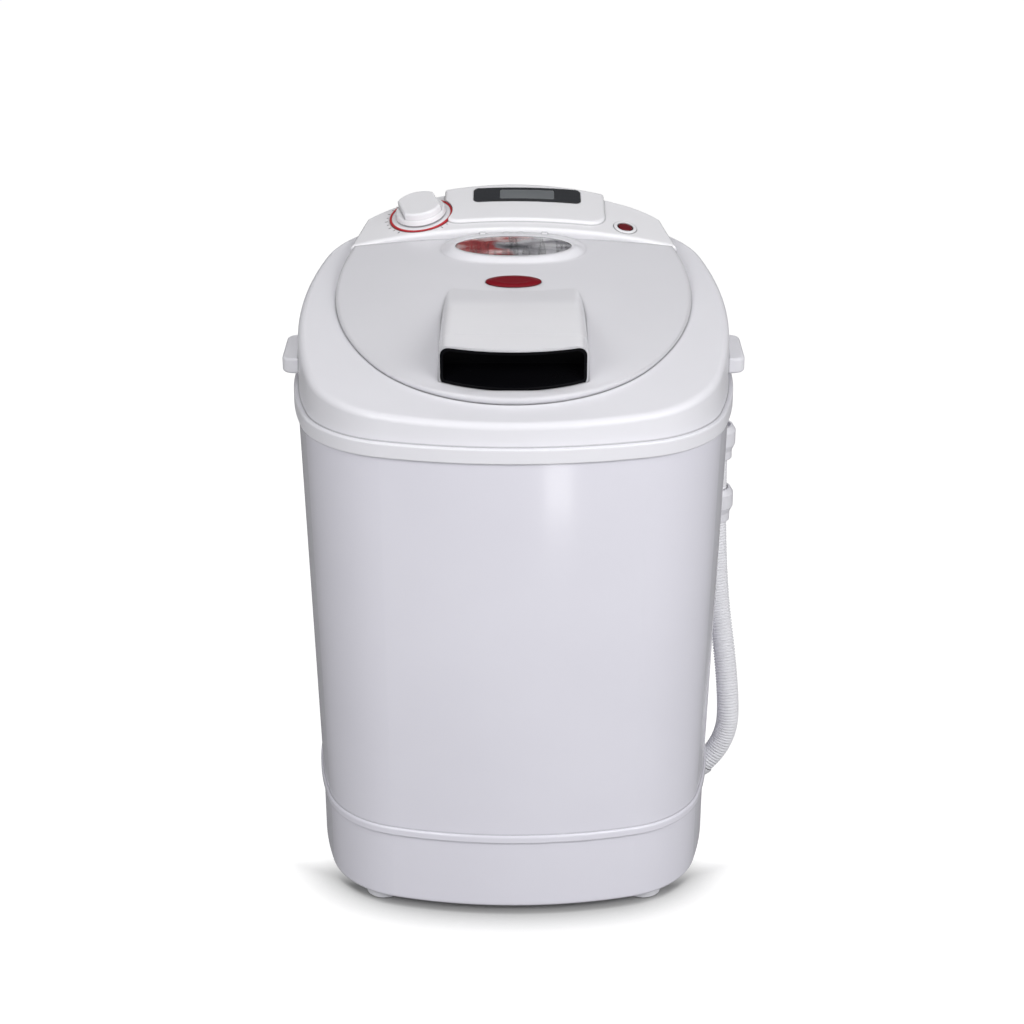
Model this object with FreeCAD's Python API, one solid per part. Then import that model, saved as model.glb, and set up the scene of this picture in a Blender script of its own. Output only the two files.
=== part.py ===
import FreeCAD, Part
import math
import os

V = FreeCAD.Vector

# Body outline in plan, at the flange: a rounded box of eight tangent arcs.
BODY_W = 380.0
BODY_D = 370.0
FRONT_R = 397.0
SIDE_R = 387.0
REAR_R = 482.0
FRONT_CORNER_R = 97.0
REAR_CORNER_R = 94.0

# Clearances between pieces.
SEAT_GAP = 0.3
RUN_GAP = 0.05
PRESS_GAP = 0.02

# Feet and base.
FOOT_H = 8.0
FOOT_R = 16.0
FOOT_CHAMFER = 1.5
FOOT_X = 115.0
FOOT_Y = 129.5
BASE_TOP = 74.4
BASE_BOTTOM_INSET = 14.2
BASE_TOP_INSET = 13.6
BASE_WALL = 3.0
BASE_EDGE_R = 3.5
TONGUE_H = 14.0
TONGUE_WALL = 2.5
HATCH_R = 108.0
HATCH_LAP = 10.0
HATCH_T = 2.5
VENT_W = 6.0
VENT_L = 70.0
VENT_PITCH = 18.0
VENT_COUNT = 7
HATCH_SCREWS = 4
HATCH_SCREW_HEAD_R = 6.0
HATCH_SCREW_HEAD_H = 1.6
POST_R = 9.0
POST_X = 105.0
POST_Y = 80.0

# Outer shell.
SHELL_WALL = 2.5
BEAD_H = 7.0
BEAD_INSET = 11.2
SHELL_BOTTOM_INSET = 13.2
SHELL_TOP_INSET = 2.9
SHELL_LAP = 9.5

# Top cover: flange, collar and sloped deck.
FLANGE_BOTTOM = 432.0
FLANGE_H = 12.5
FLANGE_EDGE_R = 1.6
COLLAR_INSET = 4.4
COLLAR_LEAN = 0.955
COVER_WALL = 2.6
DECK_FRONT_Z = 463.0
DECK_SLOPE = 10.92
DECK_EDGE_R = 6.0
MOUTH_R = 120.0
MOUTH_Y = -20.0
MOUTH_DROP = 6.0

# Carry lugs on the collar.
LUG_L = 66.0
LUG_Y = -3.0
LUG_REACH = 8.0
LUG_H = 14.0
LUG_LIFT = 11.0
LUG_CORNER_R = 10.0
LUG_EDGE_R = 2.5
LUG_WALL = 2.4
LUG_END_WALL = 6.4
LUG_ROOT = 9.0

# Wash tub.
TUB_Y = -12.0
TUB_TOP_R = 150.0
TUB_FOOT_R = 140.0
TUB_WALL = 2.5
TUB_FLOOR_T = 3.0
TUB_UNDERSIDE = 150.0
TUB_RIM_Z = 424.0
TUB_RIM_W = 9.0
TUB_RIM_T = 3.0
GASKET_T = 2.0
CLAMP_RING_T = 3.0

# Lid, in the deck's frame: v runs rearwards up the slope, w stands off the deck.
LID_SIDE_SETBACK = 35.0
LID_FRONT_V = 35.0
LID_FRONT_TUCK = 15.0
LID_SIDE_FLATTEN = 70.0
LID_REAR_GAP = 4.0
LID_GAP = 0.5
LID_WALL = 2.5
LID_CROWN_R = 1200.0
LID_REAR_W = 18.0
LID_FRONT_W = 6.0
LID_EDGE_R = 1.4

# Finger grip and its cup.
GRIP_W = 122.0
GRIP_L = 185.0
GRIP_RISE = 49.0
GRIP_TUCK = 8.5
GRIP_SETBACK = 45.0
GRIP_LEVEL_L = 112.0
GRIP_SWEEP = 5.0
GRIP_SWEEP_R = 200.0
GRIP_SHOULDER_R = 9.0
GRIP_LIP_R = 1.5
CUP_RIM = 1.2
CUP_LOW_W = 5.8
CUP_WALL = 2.5
CUP_DEPTH = 42.0

# Oval window and badge on the lid.
WINDOW_SETBACK = 26.0
WINDOW_LIFT = 22.5
WINDOW_TILT = 11.5
WINDOW_HALF_X = 51.5
WINDOW_HALF_Y = 13.5
WINDOW_RIM = 2.6
WINDOW_RECESS = 3.8
PRINT_T = 0.8
LENS_CROWN = 1.8
FRAME_WAIST = 0.65
FRAME_FOOT_X = 69.0
FRAME_FOOT_Y = 42.0
FRAME_FOOT_SETBACK = 16.0
FRAME_FOOT_LIFT = 12.5
BADGE_SETBACK = 78.5
BADGE_HALF_X = 24.5
BADGE_HALF_Y = 10.0
BADGE_SINK = 0.8
BADGE_EDGE = 0.8
BADGE_CROWN = 1.0

# Lid hinge.
HINGE_SETBACK = 2.5
HINGE_W = 17.5
HINGE_X = 17.0
KNUCKLE_L = 16.0
KNUCKLE_R = 3.0
EAR_T = 5.0
PIN_R = 1.5

# Console.
CONSOLE_DEPTH = 76.8
CONSOLE_FRONT_W = 24.5
CONSOLE_TILT = 3.3
CONSOLE_CROWN_R = 600.0
CONSOLE_END_SETBACK = 43.0
CONSOLE_END_DRAW = 0.3
CONSOLE_INSET = 8.5
CONSOLE_WALL = 2.5
CONSOLE_EDGE_R = 3.5
POD_X = 10.0
POD_W = 146.0
POD_FRONT_S = 12.0
POD_H = 3.2
POD_CORNER_R = 16.0
POD_EDGE_R = 2.9

# Controls on the console: x across it, s rearwards from its front edge.
DIAL_X = -84.0
DIAL_S = 33.0
DIAL_R = 29.0
DIAL_RING_W = 1.9
DIAL_SINK = 1.0
DIAL_PROUD = 0.6
DIAL_RING_PROUD = 0.3
KNOB_R = 23.2
KNOB_SKIRT_H = 5.5
KNOB_H = 14.0
KNOB_LIFT = 1.4
KNOB_CHAMFER = 0.8
KNOB_BAR_W = 34.0
KNOB_TURN = 16.0
KNOB_EDGE_R = 2.0
KNOB_ROOF = 4.0
TIMER_R = 19.5
TIMER_H = 24.0
TIMER_SHAFT_R = 3.0
TIMER_SHAFT_DEPTH = 8.0
TIMER_SEAT = 0.6
OPENING_MARGIN = 3.0
TIMER_BUSH_R = 5.0
TIMER_NUT_R = 8.0
TIMER_NUT_T = 2.2
DISPLAY_X = 12.4
DISPLAY_S = 56.0
DISPLAY_W = 98.0
DISPLAY_L = 25.0
DISPLAY_CORNER_R = 5.0
DISPLAY_T = 2.0
DISPLAY_PROUD = 0.5
INSERT_W = 50.0
INSERT_L = 16.0
INSERT_T = 0.9
LAMP_X = 101.0
LAMP_S = 16.0
LAMP_LENS_R = 7.0
LAMP_BEZEL_R = 10.5
LAMP_BEZEL_PROUD = 1.2
LAMP_BEZEL_BEVEL = 1.4
LAMP_LENS_CROWN = 1.6
LAMP_LENS_DEPTH = 3.5
LAMP_BODY_R = 5.0
LAMP_BODY_H = 9.0

# Drive: pulsator, shaft, bearing, pulleys, belt and motor.
SHAFT_R = 7.0
SHAFT_FOOT_Z = 78.0
PULSATOR_LIFT = 5.0
PULSATOR_R = 78.0
PULSATOR_T = 5.0
PULSATOR_HUB_R = 16.0
PULSATOR_HUB_H = 20.0
PULSATOR_RISE = 4.0
PULSATOR_CHAMFER = 2.0
PULSATOR_ROOF = 4.0
VANES = 6
VANE_L = 52.0
VANE_W = 9.0
VANE_H = 20.0
VANE_EDGE_R = 3.9
SCREW_R = 3.0
SCREW_HEAD_R = 5.5
SCREW_HEAD_H = 2.6
SHAFT_SCREW_L = 16.0
BEARING_FLANGE_R = 45.0
BEARING_FLANGE_T = 4.0
BEARING_R = 20.0
BEARING_H = 42.0
BUSH_R = 14.0
BUSH_L = 14.0
SEAL_R = 19.0
SEAL_PROUD = 2.0
PULLEY_Z = 84.0
PULLEY_T = 14.0
DRIVE_PITCH_R = 67.0
MOTOR_PITCH_R = 15.0
BELT_T = 5.0
BELT_W = 8.0
PULLEY_LIP = 3.0
PULLEY_LIP_H = 1.0
WEB_HOLES = 6
WEB_HOLE_R = 11.0
WEB_HOLE_PCR = 40.0
BELT_SPAN = 112.0
MOTOR_R = 46.0
MOTOR_Z = 102.0
MOTOR_SHAFT_R = 5.0
MOTOR_SHAFT_END = 4.0
MOTOR_CHAMFER = 5.0
MOTOR_ROOF = 6.0
BRACKET_T = 3.0
BRACKET_SPACER = 3.0
BRACKET_W = 112.0
BRACKET_D = 80.0
BRACKET_CORNER_R = 8.0
SPACER_R = 6.0
BOLT_PCR = 34.0
BOLT_R = 2.0
BOLT_L = 13.0
BOLT_HEAD_R = 4.0
BOLT_HEAD_H = 2.0
NUT_R = 11.0
NUT_T = 5.0

# Capacitor on the base floor.
CAPACITOR_X = -100.0
CAPACITOR_Y = 20.0
CAPACITOR_R = 17.0
CAPACITOR_H = 48.0
CAPACITOR_CHAMFER = 2.0
STRAP_Z = 14.0
STRAP_H = 12.0
STRAP_T = 1.6

# Drain: pipe, outlet elbow, ribbed hose and its clips.
DRAIN_X = 112.0
DRAIN_Y = 40.0
DRAIN_Z = 30.5
DRAIN_R = 11.0
DRAIN_BORE_R = 8.5
DRAIN_BEND_R = 24.0
ELBOW_RUN = 18.0
ELBOW_SETBACK = 17.9
ELBOW_BEND_R = 14.0
ELBOW_RISE = 45.0
ELBOW_WALL = 0.5
SLEEVE_L = 8.0
SLEEVE_T = 3.0
HOSE_R = 10.4
HOSE_ROOT_R = 9.2
HOSE_BORE_R = 7.8
HOSE_RIBS = 116
HOSE_FIRST_RUN = 30.0
HOSE_TURNS = ((14.2, 44.0, 112.0), (-2.0, 88.0, 232.0), (-2.0, 88.0, 341.0))
HOSE_BEND_SHARE = 0.9
CLIP_H = 32.0
CLIP_LOWER_Z = 269.0
CLIP_UPPER_Z = 331.0
CLIP_GAP = 1.5
CLIP_R = 14.2
CLIP_BULGE_R = 17.0
CLIP_SLOT_W = 14.0
CLIP_PLATE_W = 18.0
CLIP_PLATE_LIFT = 3.7
CLIP_WAIST_Z = 8.0
CLIP_BULGE_Z = 14.0
CLIP_SHOULDER_Z = 27.0

# Mains gland and rear screws.
GLAND_X = -60.0
GLAND_Z = 45.0
GLAND_R = 8.0
GLAND_FLANGE_R = 11.0
GLAND_BORE_R = 3.5
GLAND_FLANGE_T = 2.5
GLAND_TAIL = 13.0
COVER_SCREW_X = 40.0
COVER_SCREW_HEAD_R = 4.0
COVER_SCREW_R = 2.0
COVER_SCREW_HEAD_H = 2.0
COVER_SCREW_L = 8.0

# Wiring from the timer to the motor.
WIRE_R = 4.0
WIRE_X = -70.0
WIRE_Y = 152.0
WIRE_HIGH_Z = 462.0
WIRE_LOW_Z = 122.0
WIRE_BEND_R = 16.0

# How near an edge has to lie to count as on a face, and a lap that keeps cuts and joins clean.
NEAR = 0.1
LAP = 1.0
CUT_CLEAR = 20.0

# Steps of a dome: shares of its half length, half width and height.
DOME = ((1.0, 1.0, 0.0), (0.88, 0.82, 0.7), (0.55, 0.5, 1.0))

# Values that follow from the driving dimensions.
FLANGE_TOP = FLANGE_BOTTOM + FLANGE_H
SHELL_TOP = FLANGE_BOTTOM + SHELL_LAP
BEAD_TOP = BASE_TOP + BEAD_H
TALL = DECK_FRONT_Z + BODY_D
BASE_FLOOR = FOOT_H + BASE_WALL
LID_W = BODY_W - 2 * LID_SIDE_SETBACK
LID_FRONT_R = LID_W / 2 - LID_FRONT_TUCK
LID_SIDE_R = LID_W / 2 + LID_SIDE_FLATTEN
CONSOLE_HALF_W = BODY_W / 2 - CONSOLE_END_SETBACK
CONSOLE_FRONT_V = BODY_D / math.cos(math.radians(DECK_SLOPE)) - CONSOLE_DEPTH
LID_REAR_V = CONSOLE_FRONT_V - LID_REAR_GAP
HINGE_V = LID_REAR_V - HINGE_SETBACK
WINDOW_V = LID_REAR_V - WINDOW_SETBACK
FRAME_FOOT_V = LID_REAR_V - FRAME_FOOT_SETBACK
GRIP_TOP_Z = DECK_FRONT_Z + GRIP_RISE
GRIP_FRONT_R = LID_FRONT_R - GRIP_TUCK
GRIP_FRONT_Y = GRIP_SETBACK - BODY_D / 2
GRIP_REAR_Y = GRIP_FRONT_Y + GRIP_L
CUP_CORNER_R = GRIP_SHOULDER_R - CUP_RIM
ELBOW_BEND_X = BODY_W / 2 - ELBOW_SETBACK
ELBOW_START_X = ELBOW_BEND_X - ELBOW_RUN
HOSE_POINTS = [V(BODY_W / 2 + out, y, z) for out, y, z in HOSE_TURNS]
LID_TILT = math.degrees(math.atan((LID_REAR_W - LID_FRONT_W) / (LID_REAR_V - LID_FRONT_V)))
TUB_FLOOR = TUB_UNDERSIDE + TUB_FLOOR_T
PULSATOR_Z = TUB_FLOOR + PULSATOR_LIFT
SHAFT_TOP = PULSATOR_Z + PULSATOR_HUB_H - PULSATOR_ROOF
MOTOR_Y = TUB_Y + BELT_SPAN
TIMER_TOP = -CONSOLE_WALL - TIMER_SEAT
MOTOR_TOP = TUB_UNDERSIDE - BRACKET_SPACER - BRACKET_T
DOWN = V(0, 0, -1)
UP = V(0, 0, 1)
DECK = FreeCAD.Placement(V(0, -BODY_D / 2, DECK_FRONT_Z), FreeCAD.Rotation(V(1, 0, 0), DECK_SLOPE))
LID_TOP = DECK * FreeCAD.Placement(V(0, LID_REAR_V, LID_REAR_W), FreeCAD.Rotation(V(1, 0, 0), LID_TILT))
WINDOW = DECK * FreeCAD.Placement(V(0, WINDOW_V, WINDOW_LIFT), FreeCAD.Rotation(V(1, 0, 0), WINDOW_TILT))
CROWN = DECK * FreeCAD.Placement(
    V(0, CONSOLE_FRONT_V, CONSOLE_FRONT_W), FreeCAD.Rotation(V(1, 0, 0), CONSOLE_TILT))


# Shared shapes.

def placed(placement, shape):
    copy = shape.copy()
    copy.Placement = placement * copy.Placement
    return copy


def box(x0, x1, y0, y1, z0, z1):
    return Part.makeBox(x1 - x0, y1 - y0, z1 - z0, V(x0, y0, z0))


def rod(radius, start, direction, length):
    return Part.makeCylinder(radius, length, start, direction)


def tube(outer, inner, start, direction, length):
    return rod(outer, start, direction, length).cut(rod(inner, start, direction, length))


def fused(shapes):
    return shapes[0].multiFuse(shapes[1:]).removeSplitter()


def turned(profile):
    """Solid of revolution about Z of a closed (radius, height) polygon."""
    points = [V(r, 0, z) for r, z in profile]
    face = Part.Face(Part.makePolygon(points + points[:1]))
    return face.revolve(V(0, 0, 0), UP, 360)


def raised(wire, low, high):
    """Prism of a flat wire drawn at height 0, from low to high."""
    prism = Part.Face(wire).extrude(V(0, 0, high - low))
    prism.translate(V(0, 0, low))
    return prism


def rounded_plate(width, depth, radius, low, high):
    plate = box(-width / 2, width / 2, -depth / 2, depth / 2, low, high)
    upright = [e for e in plate.Edges if abs(e.tangentAt(e.FirstParameter).z) > 0.9]
    return plate.makeFillet(radius, upright)


def oval(half_x, half_y):
    ellipse = Part.Ellipse(V(0, 0, 0), half_x, half_y)
    return Part.Wire([ellipse.toShape()])


def moved(shape, spot):
    return placed(FreeCAD.Placement(spot, FreeCAD.Rotation()), shape)


def copies(shape, spots):
    """The same piece at several places, as one group."""
    return Part.makeCompound([moved(shape, spot) for spot in spots])


def screw(radius, length, head_r, head_h):
    """Screw along Z with the underside of its head at height 0."""
    rim = head_h / 2
    return turned([(0, -length), (radius, -length), (radius, 0), (head_r, 0), (head_r, rim),
                   (head_r - rim, head_h), (0, head_h)])


def domed(half_x, half_y, low, edge, crown):
    """Oval plate with upright sides up to edge and a dome of height crown on them."""
    base = raised(oval(half_x, half_y), low, edge)
    steps = [moved(oval(half_x * x, half_y * y), V(0, 0, edge + crown * z)) for x, y, z in DOME]
    return fused([base, Part.makeLoft(steps, True, False)])


def arc_loop(points):
    """Closed wire of arcs; every second point is the middle of an arc."""
    count = len(points)
    arcs = [Part.Arc(points[i], points[i + 1], points[(i + 2) % count]) for i in range(0, count, 2)]
    return Part.Wire([arc.toShape() for arc in arcs])


def meet(centre_a, radius_a, centre_b, radius_b, sign):
    """Right-hand point where two circles cross, on the front (-1) or rear (+1) side."""
    gap = centre_b - centre_a
    along = (radius_a ** 2 - radius_b ** 2 + gap.Length ** 2) / (2 * gap.Length)
    across = math.sqrt(radius_a ** 2 - along ** 2)
    unit = V(gap).normalize()
    foot = centre_a + unit * along
    choices = [foot + V(-unit.y, unit.x, 0) * across, foot - V(-unit.y, unit.x, 0) * across]
    return max(choices, key=lambda point: sign * point.y + point.x)


def outline(inset, z):
    """Body outline in plan, drawn in by inset, at height z."""
    side_centre = V(BODY_W / 2 - SIDE_R, 0, 0)
    corners = []
    for sign, end_r, corner_r in ((-1, FRONT_R, FRONT_CORNER_R), (1, REAR_R, REAR_CORNER_R)):
        end_centre = V(0, sign * (BODY_D / 2 - end_r), 0)
        centre = meet(end_centre, end_r - corner_r, side_centre, SIDE_R - corner_r, sign)
        to_end = (centre - end_centre).normalize()
        to_side = (centre - side_centre).normalize()
        to_middle = (to_end + to_side).normalize()
        corners.append([centre + way * (corner_r - inset) for way in (to_end, to_middle, to_side)])
    front, rear = corners
    right = front + [V(BODY_W / 2 - inset, 0, 0)] + rear[::-1]
    left = [V(-p.x, p.y, 0) for p in right[::-1]]
    loop = right + [V(0, BODY_D / 2 - inset, 0)] + left + [V(0, inset - BODY_D / 2, 0)]
    return arc_loop([V(p.x, p.y, z) for p in loop])


def slab(low_inset, low, high_inset, high):
    """Solid between two outlines of the body."""
    return Part.makeLoft([outline(low_inset, low), outline(high_inset, high)], True, True)


def base_inset(z):
    share = (z - FOOT_H) / (BASE_TOP - FOOT_H)
    return BASE_BOTTOM_INSET + share * (BASE_TOP_INSET - BASE_BOTTOM_INSET)


def shell_inset(z):
    share = (z - BEAD_TOP) / (SHELL_TOP - BEAD_TOP)
    return SHELL_BOTTOM_INSET + share * (SHELL_TOP_INSET - SHELL_BOTTOM_INSET)


def collar_inset(z):
    return COLLAR_INSET + math.tan(math.radians(COLLAR_LEAN)) * (z - FLANGE_TOP)


def deck_box(low, high):
    """Slab parallel to the deck between two heights above it."""
    return placed(DECK, box(-BODY_W, BODY_W, -BODY_D, 2 * BODY_D, low, high))


def collar_blank(inset, skin):
    """Solid inside of the collar, drawn in by inset, below the deck lowered by skin."""
    block = slab(collar_inset(FLANGE_TOP) + inset, FLANGE_TOP, collar_inset(TALL) + inset, TALL)
    return block.cut(deck_box(-skin, BODY_D))


BASE_BLANK = slab(BASE_BOTTOM_INSET, FOOT_H, BASE_TOP_INSET, BASE_TOP)
SHELL_BLANK = slab(SHELL_BOTTOM_INSET, BEAD_TOP, SHELL_TOP_INSET, SHELL_TOP)
FLANGE_BLANK = slab(0, FLANGE_BOTTOM, 0, FLANGE_TOP)


# Base and what hangs on it.

def foot_spots():
    return [V(x, y, 0) for x in (-FOOT_X, FOOT_X) for y in (-FOOT_Y, FOOT_Y)]


def rubber_feet():
    foot = turned([(0, 0), (FOOT_R - FOOT_CHAMFER, 0), (FOOT_R, FOOT_CHAMFER), (FOOT_R, FOOT_H), (0, FOOT_H)])
    return copies(foot, foot_spots())


def hatch_screw_spots():
    turns = [math.radians(360 * (k + 0.5) / HATCH_SCREWS) for k in range(HATCH_SCREWS)]
    reach = HATCH_R + HATCH_LAP / 2
    return [V(reach * math.cos(a), TUB_Y + reach * math.sin(a), 0) for a in turns]


def post_spots():
    return [V(x, TUB_Y + y, BASE_FLOOR) for x in (-POST_X, POST_X) for y in (-POST_Y, POST_Y)]


def elbow_line():
    """Centre line of the outlet elbow, and its end point and direction."""
    rise = math.radians(ELBOW_RISE)
    start = V(ELBOW_START_X, DRAIN_Y, DRAIN_Z)
    bend = V(ELBOW_BEND_X, DRAIN_Y, DRAIN_Z)
    ends = []
    for angle in (rise / 2, rise):
        ends.append(bend + V(math.sin(angle), 0, 1 - math.cos(angle)) * ELBOW_BEND_R)
    way = V(math.cos(rise), 0, math.sin(rise))
    straight = Part.LineSegment(start, bend).toShape()
    return Part.Wire([straight, Part.Arc(bend, ends[0], ends[1]).toShape()]), ends[1], way


def swept(path, start, direction, radius):
    circle = Part.Wire([Part.Circle(start, direction, radius).toShape()])
    return path.makePipeShell([circle], True, False)


def elbow_solid(radius):
    line, _, _ = elbow_line()
    return swept(line, V(ELBOW_START_X, DRAIN_Y, DRAIN_Z), V(1, 0, 0), radius)


def base_housing():
    outer = BASE_BLANK.makeFillet(
        BASE_EDGE_R, [e for e in BASE_BLANK.Edges if e.BoundBox.ZMax < FOOT_H + NEAR])
    hollow = slab(base_inset(BASE_FLOOR) + BASE_WALL, BASE_FLOOR, BASE_TOP_INSET + BASE_WALL, BASE_TOP)
    tongue_out = shell_inset(BEAD_TOP) + SHELL_WALL + SEAT_GAP
    tongue_low = BASE_TOP - BASE_WALL
    tongue_top = BASE_TOP + TONGUE_H
    tongue = slab(tongue_out, tongue_low, tongue_out, tongue_top)
    tongue = tongue.cut(slab(tongue_out + TONGUE_WALL, tongue_low, tongue_out + TONGUE_WALL, tongue_top))
    posts = [rod(POST_R, spot, UP, TUB_UNDERSIDE - BASE_FLOOR) for spot in post_spots()]
    base = fused([outer.cut(hollow), tongue] + posts)
    hatch = rod(HATCH_R, V(0, TUB_Y, FOOT_H), UP, BASE_WALL)
    gland = rod(GLAND_R + SEAT_GAP, V(GLAND_X, BODY_D / 4, GLAND_Z), V(0, 1, 0), BODY_D / 2)
    screws = [rod(SCREW_R + PRESS_GAP, spot + V(0, 0, FOOT_H), UP, BASE_WALL) for spot in hatch_screw_spots()]
    return base.cut(fused([hatch, gland, elbow_solid(DRAIN_R + ELBOW_WALL + SEAT_GAP)] + screws))


def bottom_cover():
    plate = rod(HATCH_R + HATCH_LAP, V(0, TUB_Y, FOOT_H - HATCH_T), UP, HATCH_T)
    first = -VENT_PITCH * (VENT_COUNT - 1) / 2
    cuts = []
    for k in range(VENT_COUNT):
        x = first + k * VENT_PITCH
        cuts.append(box(x - VENT_W / 2, x + VENT_W / 2, TUB_Y - VENT_L / 2, TUB_Y + VENT_L / 2, 0, FOOT_H))
    cuts += [rod(SCREW_R + PRESS_GAP, spot, UP, FOOT_H) for spot in hatch_screw_spots()]
    for spot in foot_spots():
        cuts.append(rod(FOOT_R + SEAT_GAP, spot, UP, FOOT_H))
    return plate.cut(fused(cuts))


def bottom_screws():
    piece = screw(SCREW_R, HATCH_T + BASE_WALL, HATCH_SCREW_HEAD_R, HATCH_SCREW_HEAD_H)
    piece = placed(FreeCAD.Placement(V(0, 0, FOOT_H - HATCH_T), FreeCAD.Rotation(V(1, 0, 0), 180)), piece)
    return copies(piece, hatch_screw_spots())


def cord_gland():
    probe = Part.makeLine(V(GLAND_X, 0, GLAND_Z), V(GLAND_X, BODY_D, GLAND_Z))
    wall_y = probe.common(BASE_BLANK).BoundBox.YMax
    start = V(GLAND_X, wall_y - 2 * BASE_WALL, GLAND_Z)
    flange = rod(GLAND_FLANGE_R, start, V(0, 1, 0), 2 * BASE_WALL + GLAND_FLANGE_T).cut(BASE_BLANK)
    body = rod(GLAND_R, start, V(0, 1, 0), 2 * BASE_WALL + GLAND_TAIL)
    bore = rod(GLAND_BORE_R, start, V(0, 1, 0), BODY_D / 2)
    return fused([flange, body]).cut(bore)


# Shell and top cover.

def outer_shell():
    bead = slab(BEAD_INSET, BASE_TOP, BEAD_INSET, BEAD_TOP)
    bead = bead.makeFillet(BEAD_H / 3, [e for e in bead.Edges if e.BoundBox.ZMin > BEAD_TOP - NEAR])
    inner_low = shell_inset(BEAD_TOP) + SHELL_WALL
    hollow = slab(inner_low, BEAD_TOP, SHELL_TOP_INSET + SHELL_WALL, SHELL_TOP)
    well = slab(inner_low, BASE_TOP, inner_low, BEAD_TOP)
    shell = fused([SHELL_BLANK, bead]).cut(fused([hollow, well]))
    return shell.cut(fused(cover_screw_holes(COVER_SCREW_R + PRESS_GAP)))


def cover_screw_holes(radius):
    spots = [V(x, BODY_D / 4, FLANGE_BOTTOM + SHELL_LAP / 2) for x in (-COVER_SCREW_X, COVER_SCREW_X)]
    return [rod(radius, spot, V(0, 1, 0), BODY_D / 2) for spot in spots]


def cover_screws():
    z = FLANGE_BOTTOM + SHELL_LAP / 2
    screws = []
    for x in (-COVER_SCREW_X, COVER_SCREW_X):
        face_y = Part.makeLine(V(x, 0, z), V(x, BODY_D, z)).common(FLANGE_BLANK).BoundBox.YMax
        spot = V(x, face_y - COVER_SCREW_L, z)
        head = rod(COVER_SCREW_HEAD_R, spot, V(0, 1, 0), COVER_SCREW_L + COVER_SCREW_HEAD_H).cut(FLANGE_BLANK)
        shank = rod(COVER_SCREW_R, spot, V(0, 1, 0), COVER_SCREW_L)
        screws.append(fused([head, shank]))
    return Part.makeCompound(screws)


def timer_opening():
    """Opening in the deck below the console, clear of the timer and the lamp."""
    inner = placed(DECK.inverse(), Part.makeCompound([timer_body(), indicator_lamp()])).BoundBox
    return placed(DECK, box(inner.XMin - OPENING_MARGIN, inner.XMax + OPENING_MARGIN,
                            inner.YMin - OPENING_MARGIN, inner.YMax + OPENING_MARGIN,
                            -3 * COVER_WALL, CONSOLE_FRONT_W))


def collar_outside():
    collar = collar_blank(0, 0)
    flat = placed(DECK.inverse(), collar)
    rim = [k for k, e in enumerate(flat.Edges) if max(abs(e.BoundBox.ZMax), abs(e.BoundBox.ZMin)) < NEAR]
    return collar.makeFillet(DECK_EDGE_R, [collar.Edges[k] for k in rim])


def top_cover():
    flange = FLANGE_BLANK.makeFillet(
        FLANGE_EDGE_R, [e for e in FLANGE_BLANK.Edges if e.BoundBox.ZMin > FLANGE_TOP - NEAR])
    lap_inset = SHELL_TOP_INSET - SEAT_GAP
    lap = slab(lap_inset, FLANGE_BOTTOM, lap_inset, SHELL_TOP)
    hollow_inset = COLLAR_INSET + COVER_WALL
    neck = slab(hollow_inset, SHELL_TOP, hollow_inset, FLANGE_TOP)
    cover = fused([collar_outside(), flange]).cut(fused([lap, neck, collar_blank(COVER_WALL, COVER_WALL)]))
    mouth = rod(MOUTH_R, V(0, MOUTH_Y, FLANGE_BOTTOM), UP, BODY_D)
    return cover.cut(fused([mouth, timer_opening()] + cover_screw_holes(COVER_SCREW_R + SEAT_GAP)))


def mouth_ring():
    """Neck from the deck down into the tub, with the flange that presses on the tub's gasket."""
    flange_r = TUB_TOP_R + TUB_WALL + (TUB_RIM_W + CLAMP_RING_T) / 2
    flange = rod(flange_r, V(0, TUB_Y, TUB_RIM_Z + GASKET_T), UP, CLAMP_RING_T)
    neck = rod(MOUTH_R + COVER_WALL, V(0, MOUTH_Y, TUB_RIM_Z - MOUTH_DROP), UP, BODY_D)
    ring = fused([flange, neck]).cut(deck_box(-COVER_WALL, 2 * BODY_D))
    return ring.cut(rod(MOUTH_R, V(0, MOUTH_Y, 0), UP, TALL))


def side_handle(sign):
    wall_x = BODY_W / 2 - COLLAR_INSET
    low = FLANGE_TOP + LUG_LIFT
    far = BODY_W / 2 + LUG_REACH
    half = LUG_L / 2
    lug = box(wall_x - LUG_ROOT, far, LUG_Y - half, LUG_Y + half, low, low + LUG_H)
    upright = [e for e in lug.Edges if e.BoundBox.XMin > far - NEAR and e.BoundBox.ZLength > NEAR]
    lug = lug.makeFillet(LUG_CORNER_R, upright)
    rims = [e for e in lug.Edges if e.BoundBox.XMin > far - NEAR and e.BoundBox.ZLength < NEAR]
    lug = lug.makeFillet(LUG_EDGE_R, rims)
    scoop = box(wall_x + LAP, far - LUG_WALL, LUG_Y - half + LUG_END_WALL, LUG_Y + half - LUG_END_WALL,
                low - LAP, low + LUG_H - LUG_WALL)
    lug = lug.cut(scoop)
    if sign < 0:
        lug = lug.mirror(V(0, 0, 0), V(1, 0, 0))
    return lug.cut(collar_blank(0, 0))


def side_handle_left():
    return side_handle(-1)


def side_handle_right():
    return side_handle(1)


# Lid.

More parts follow.
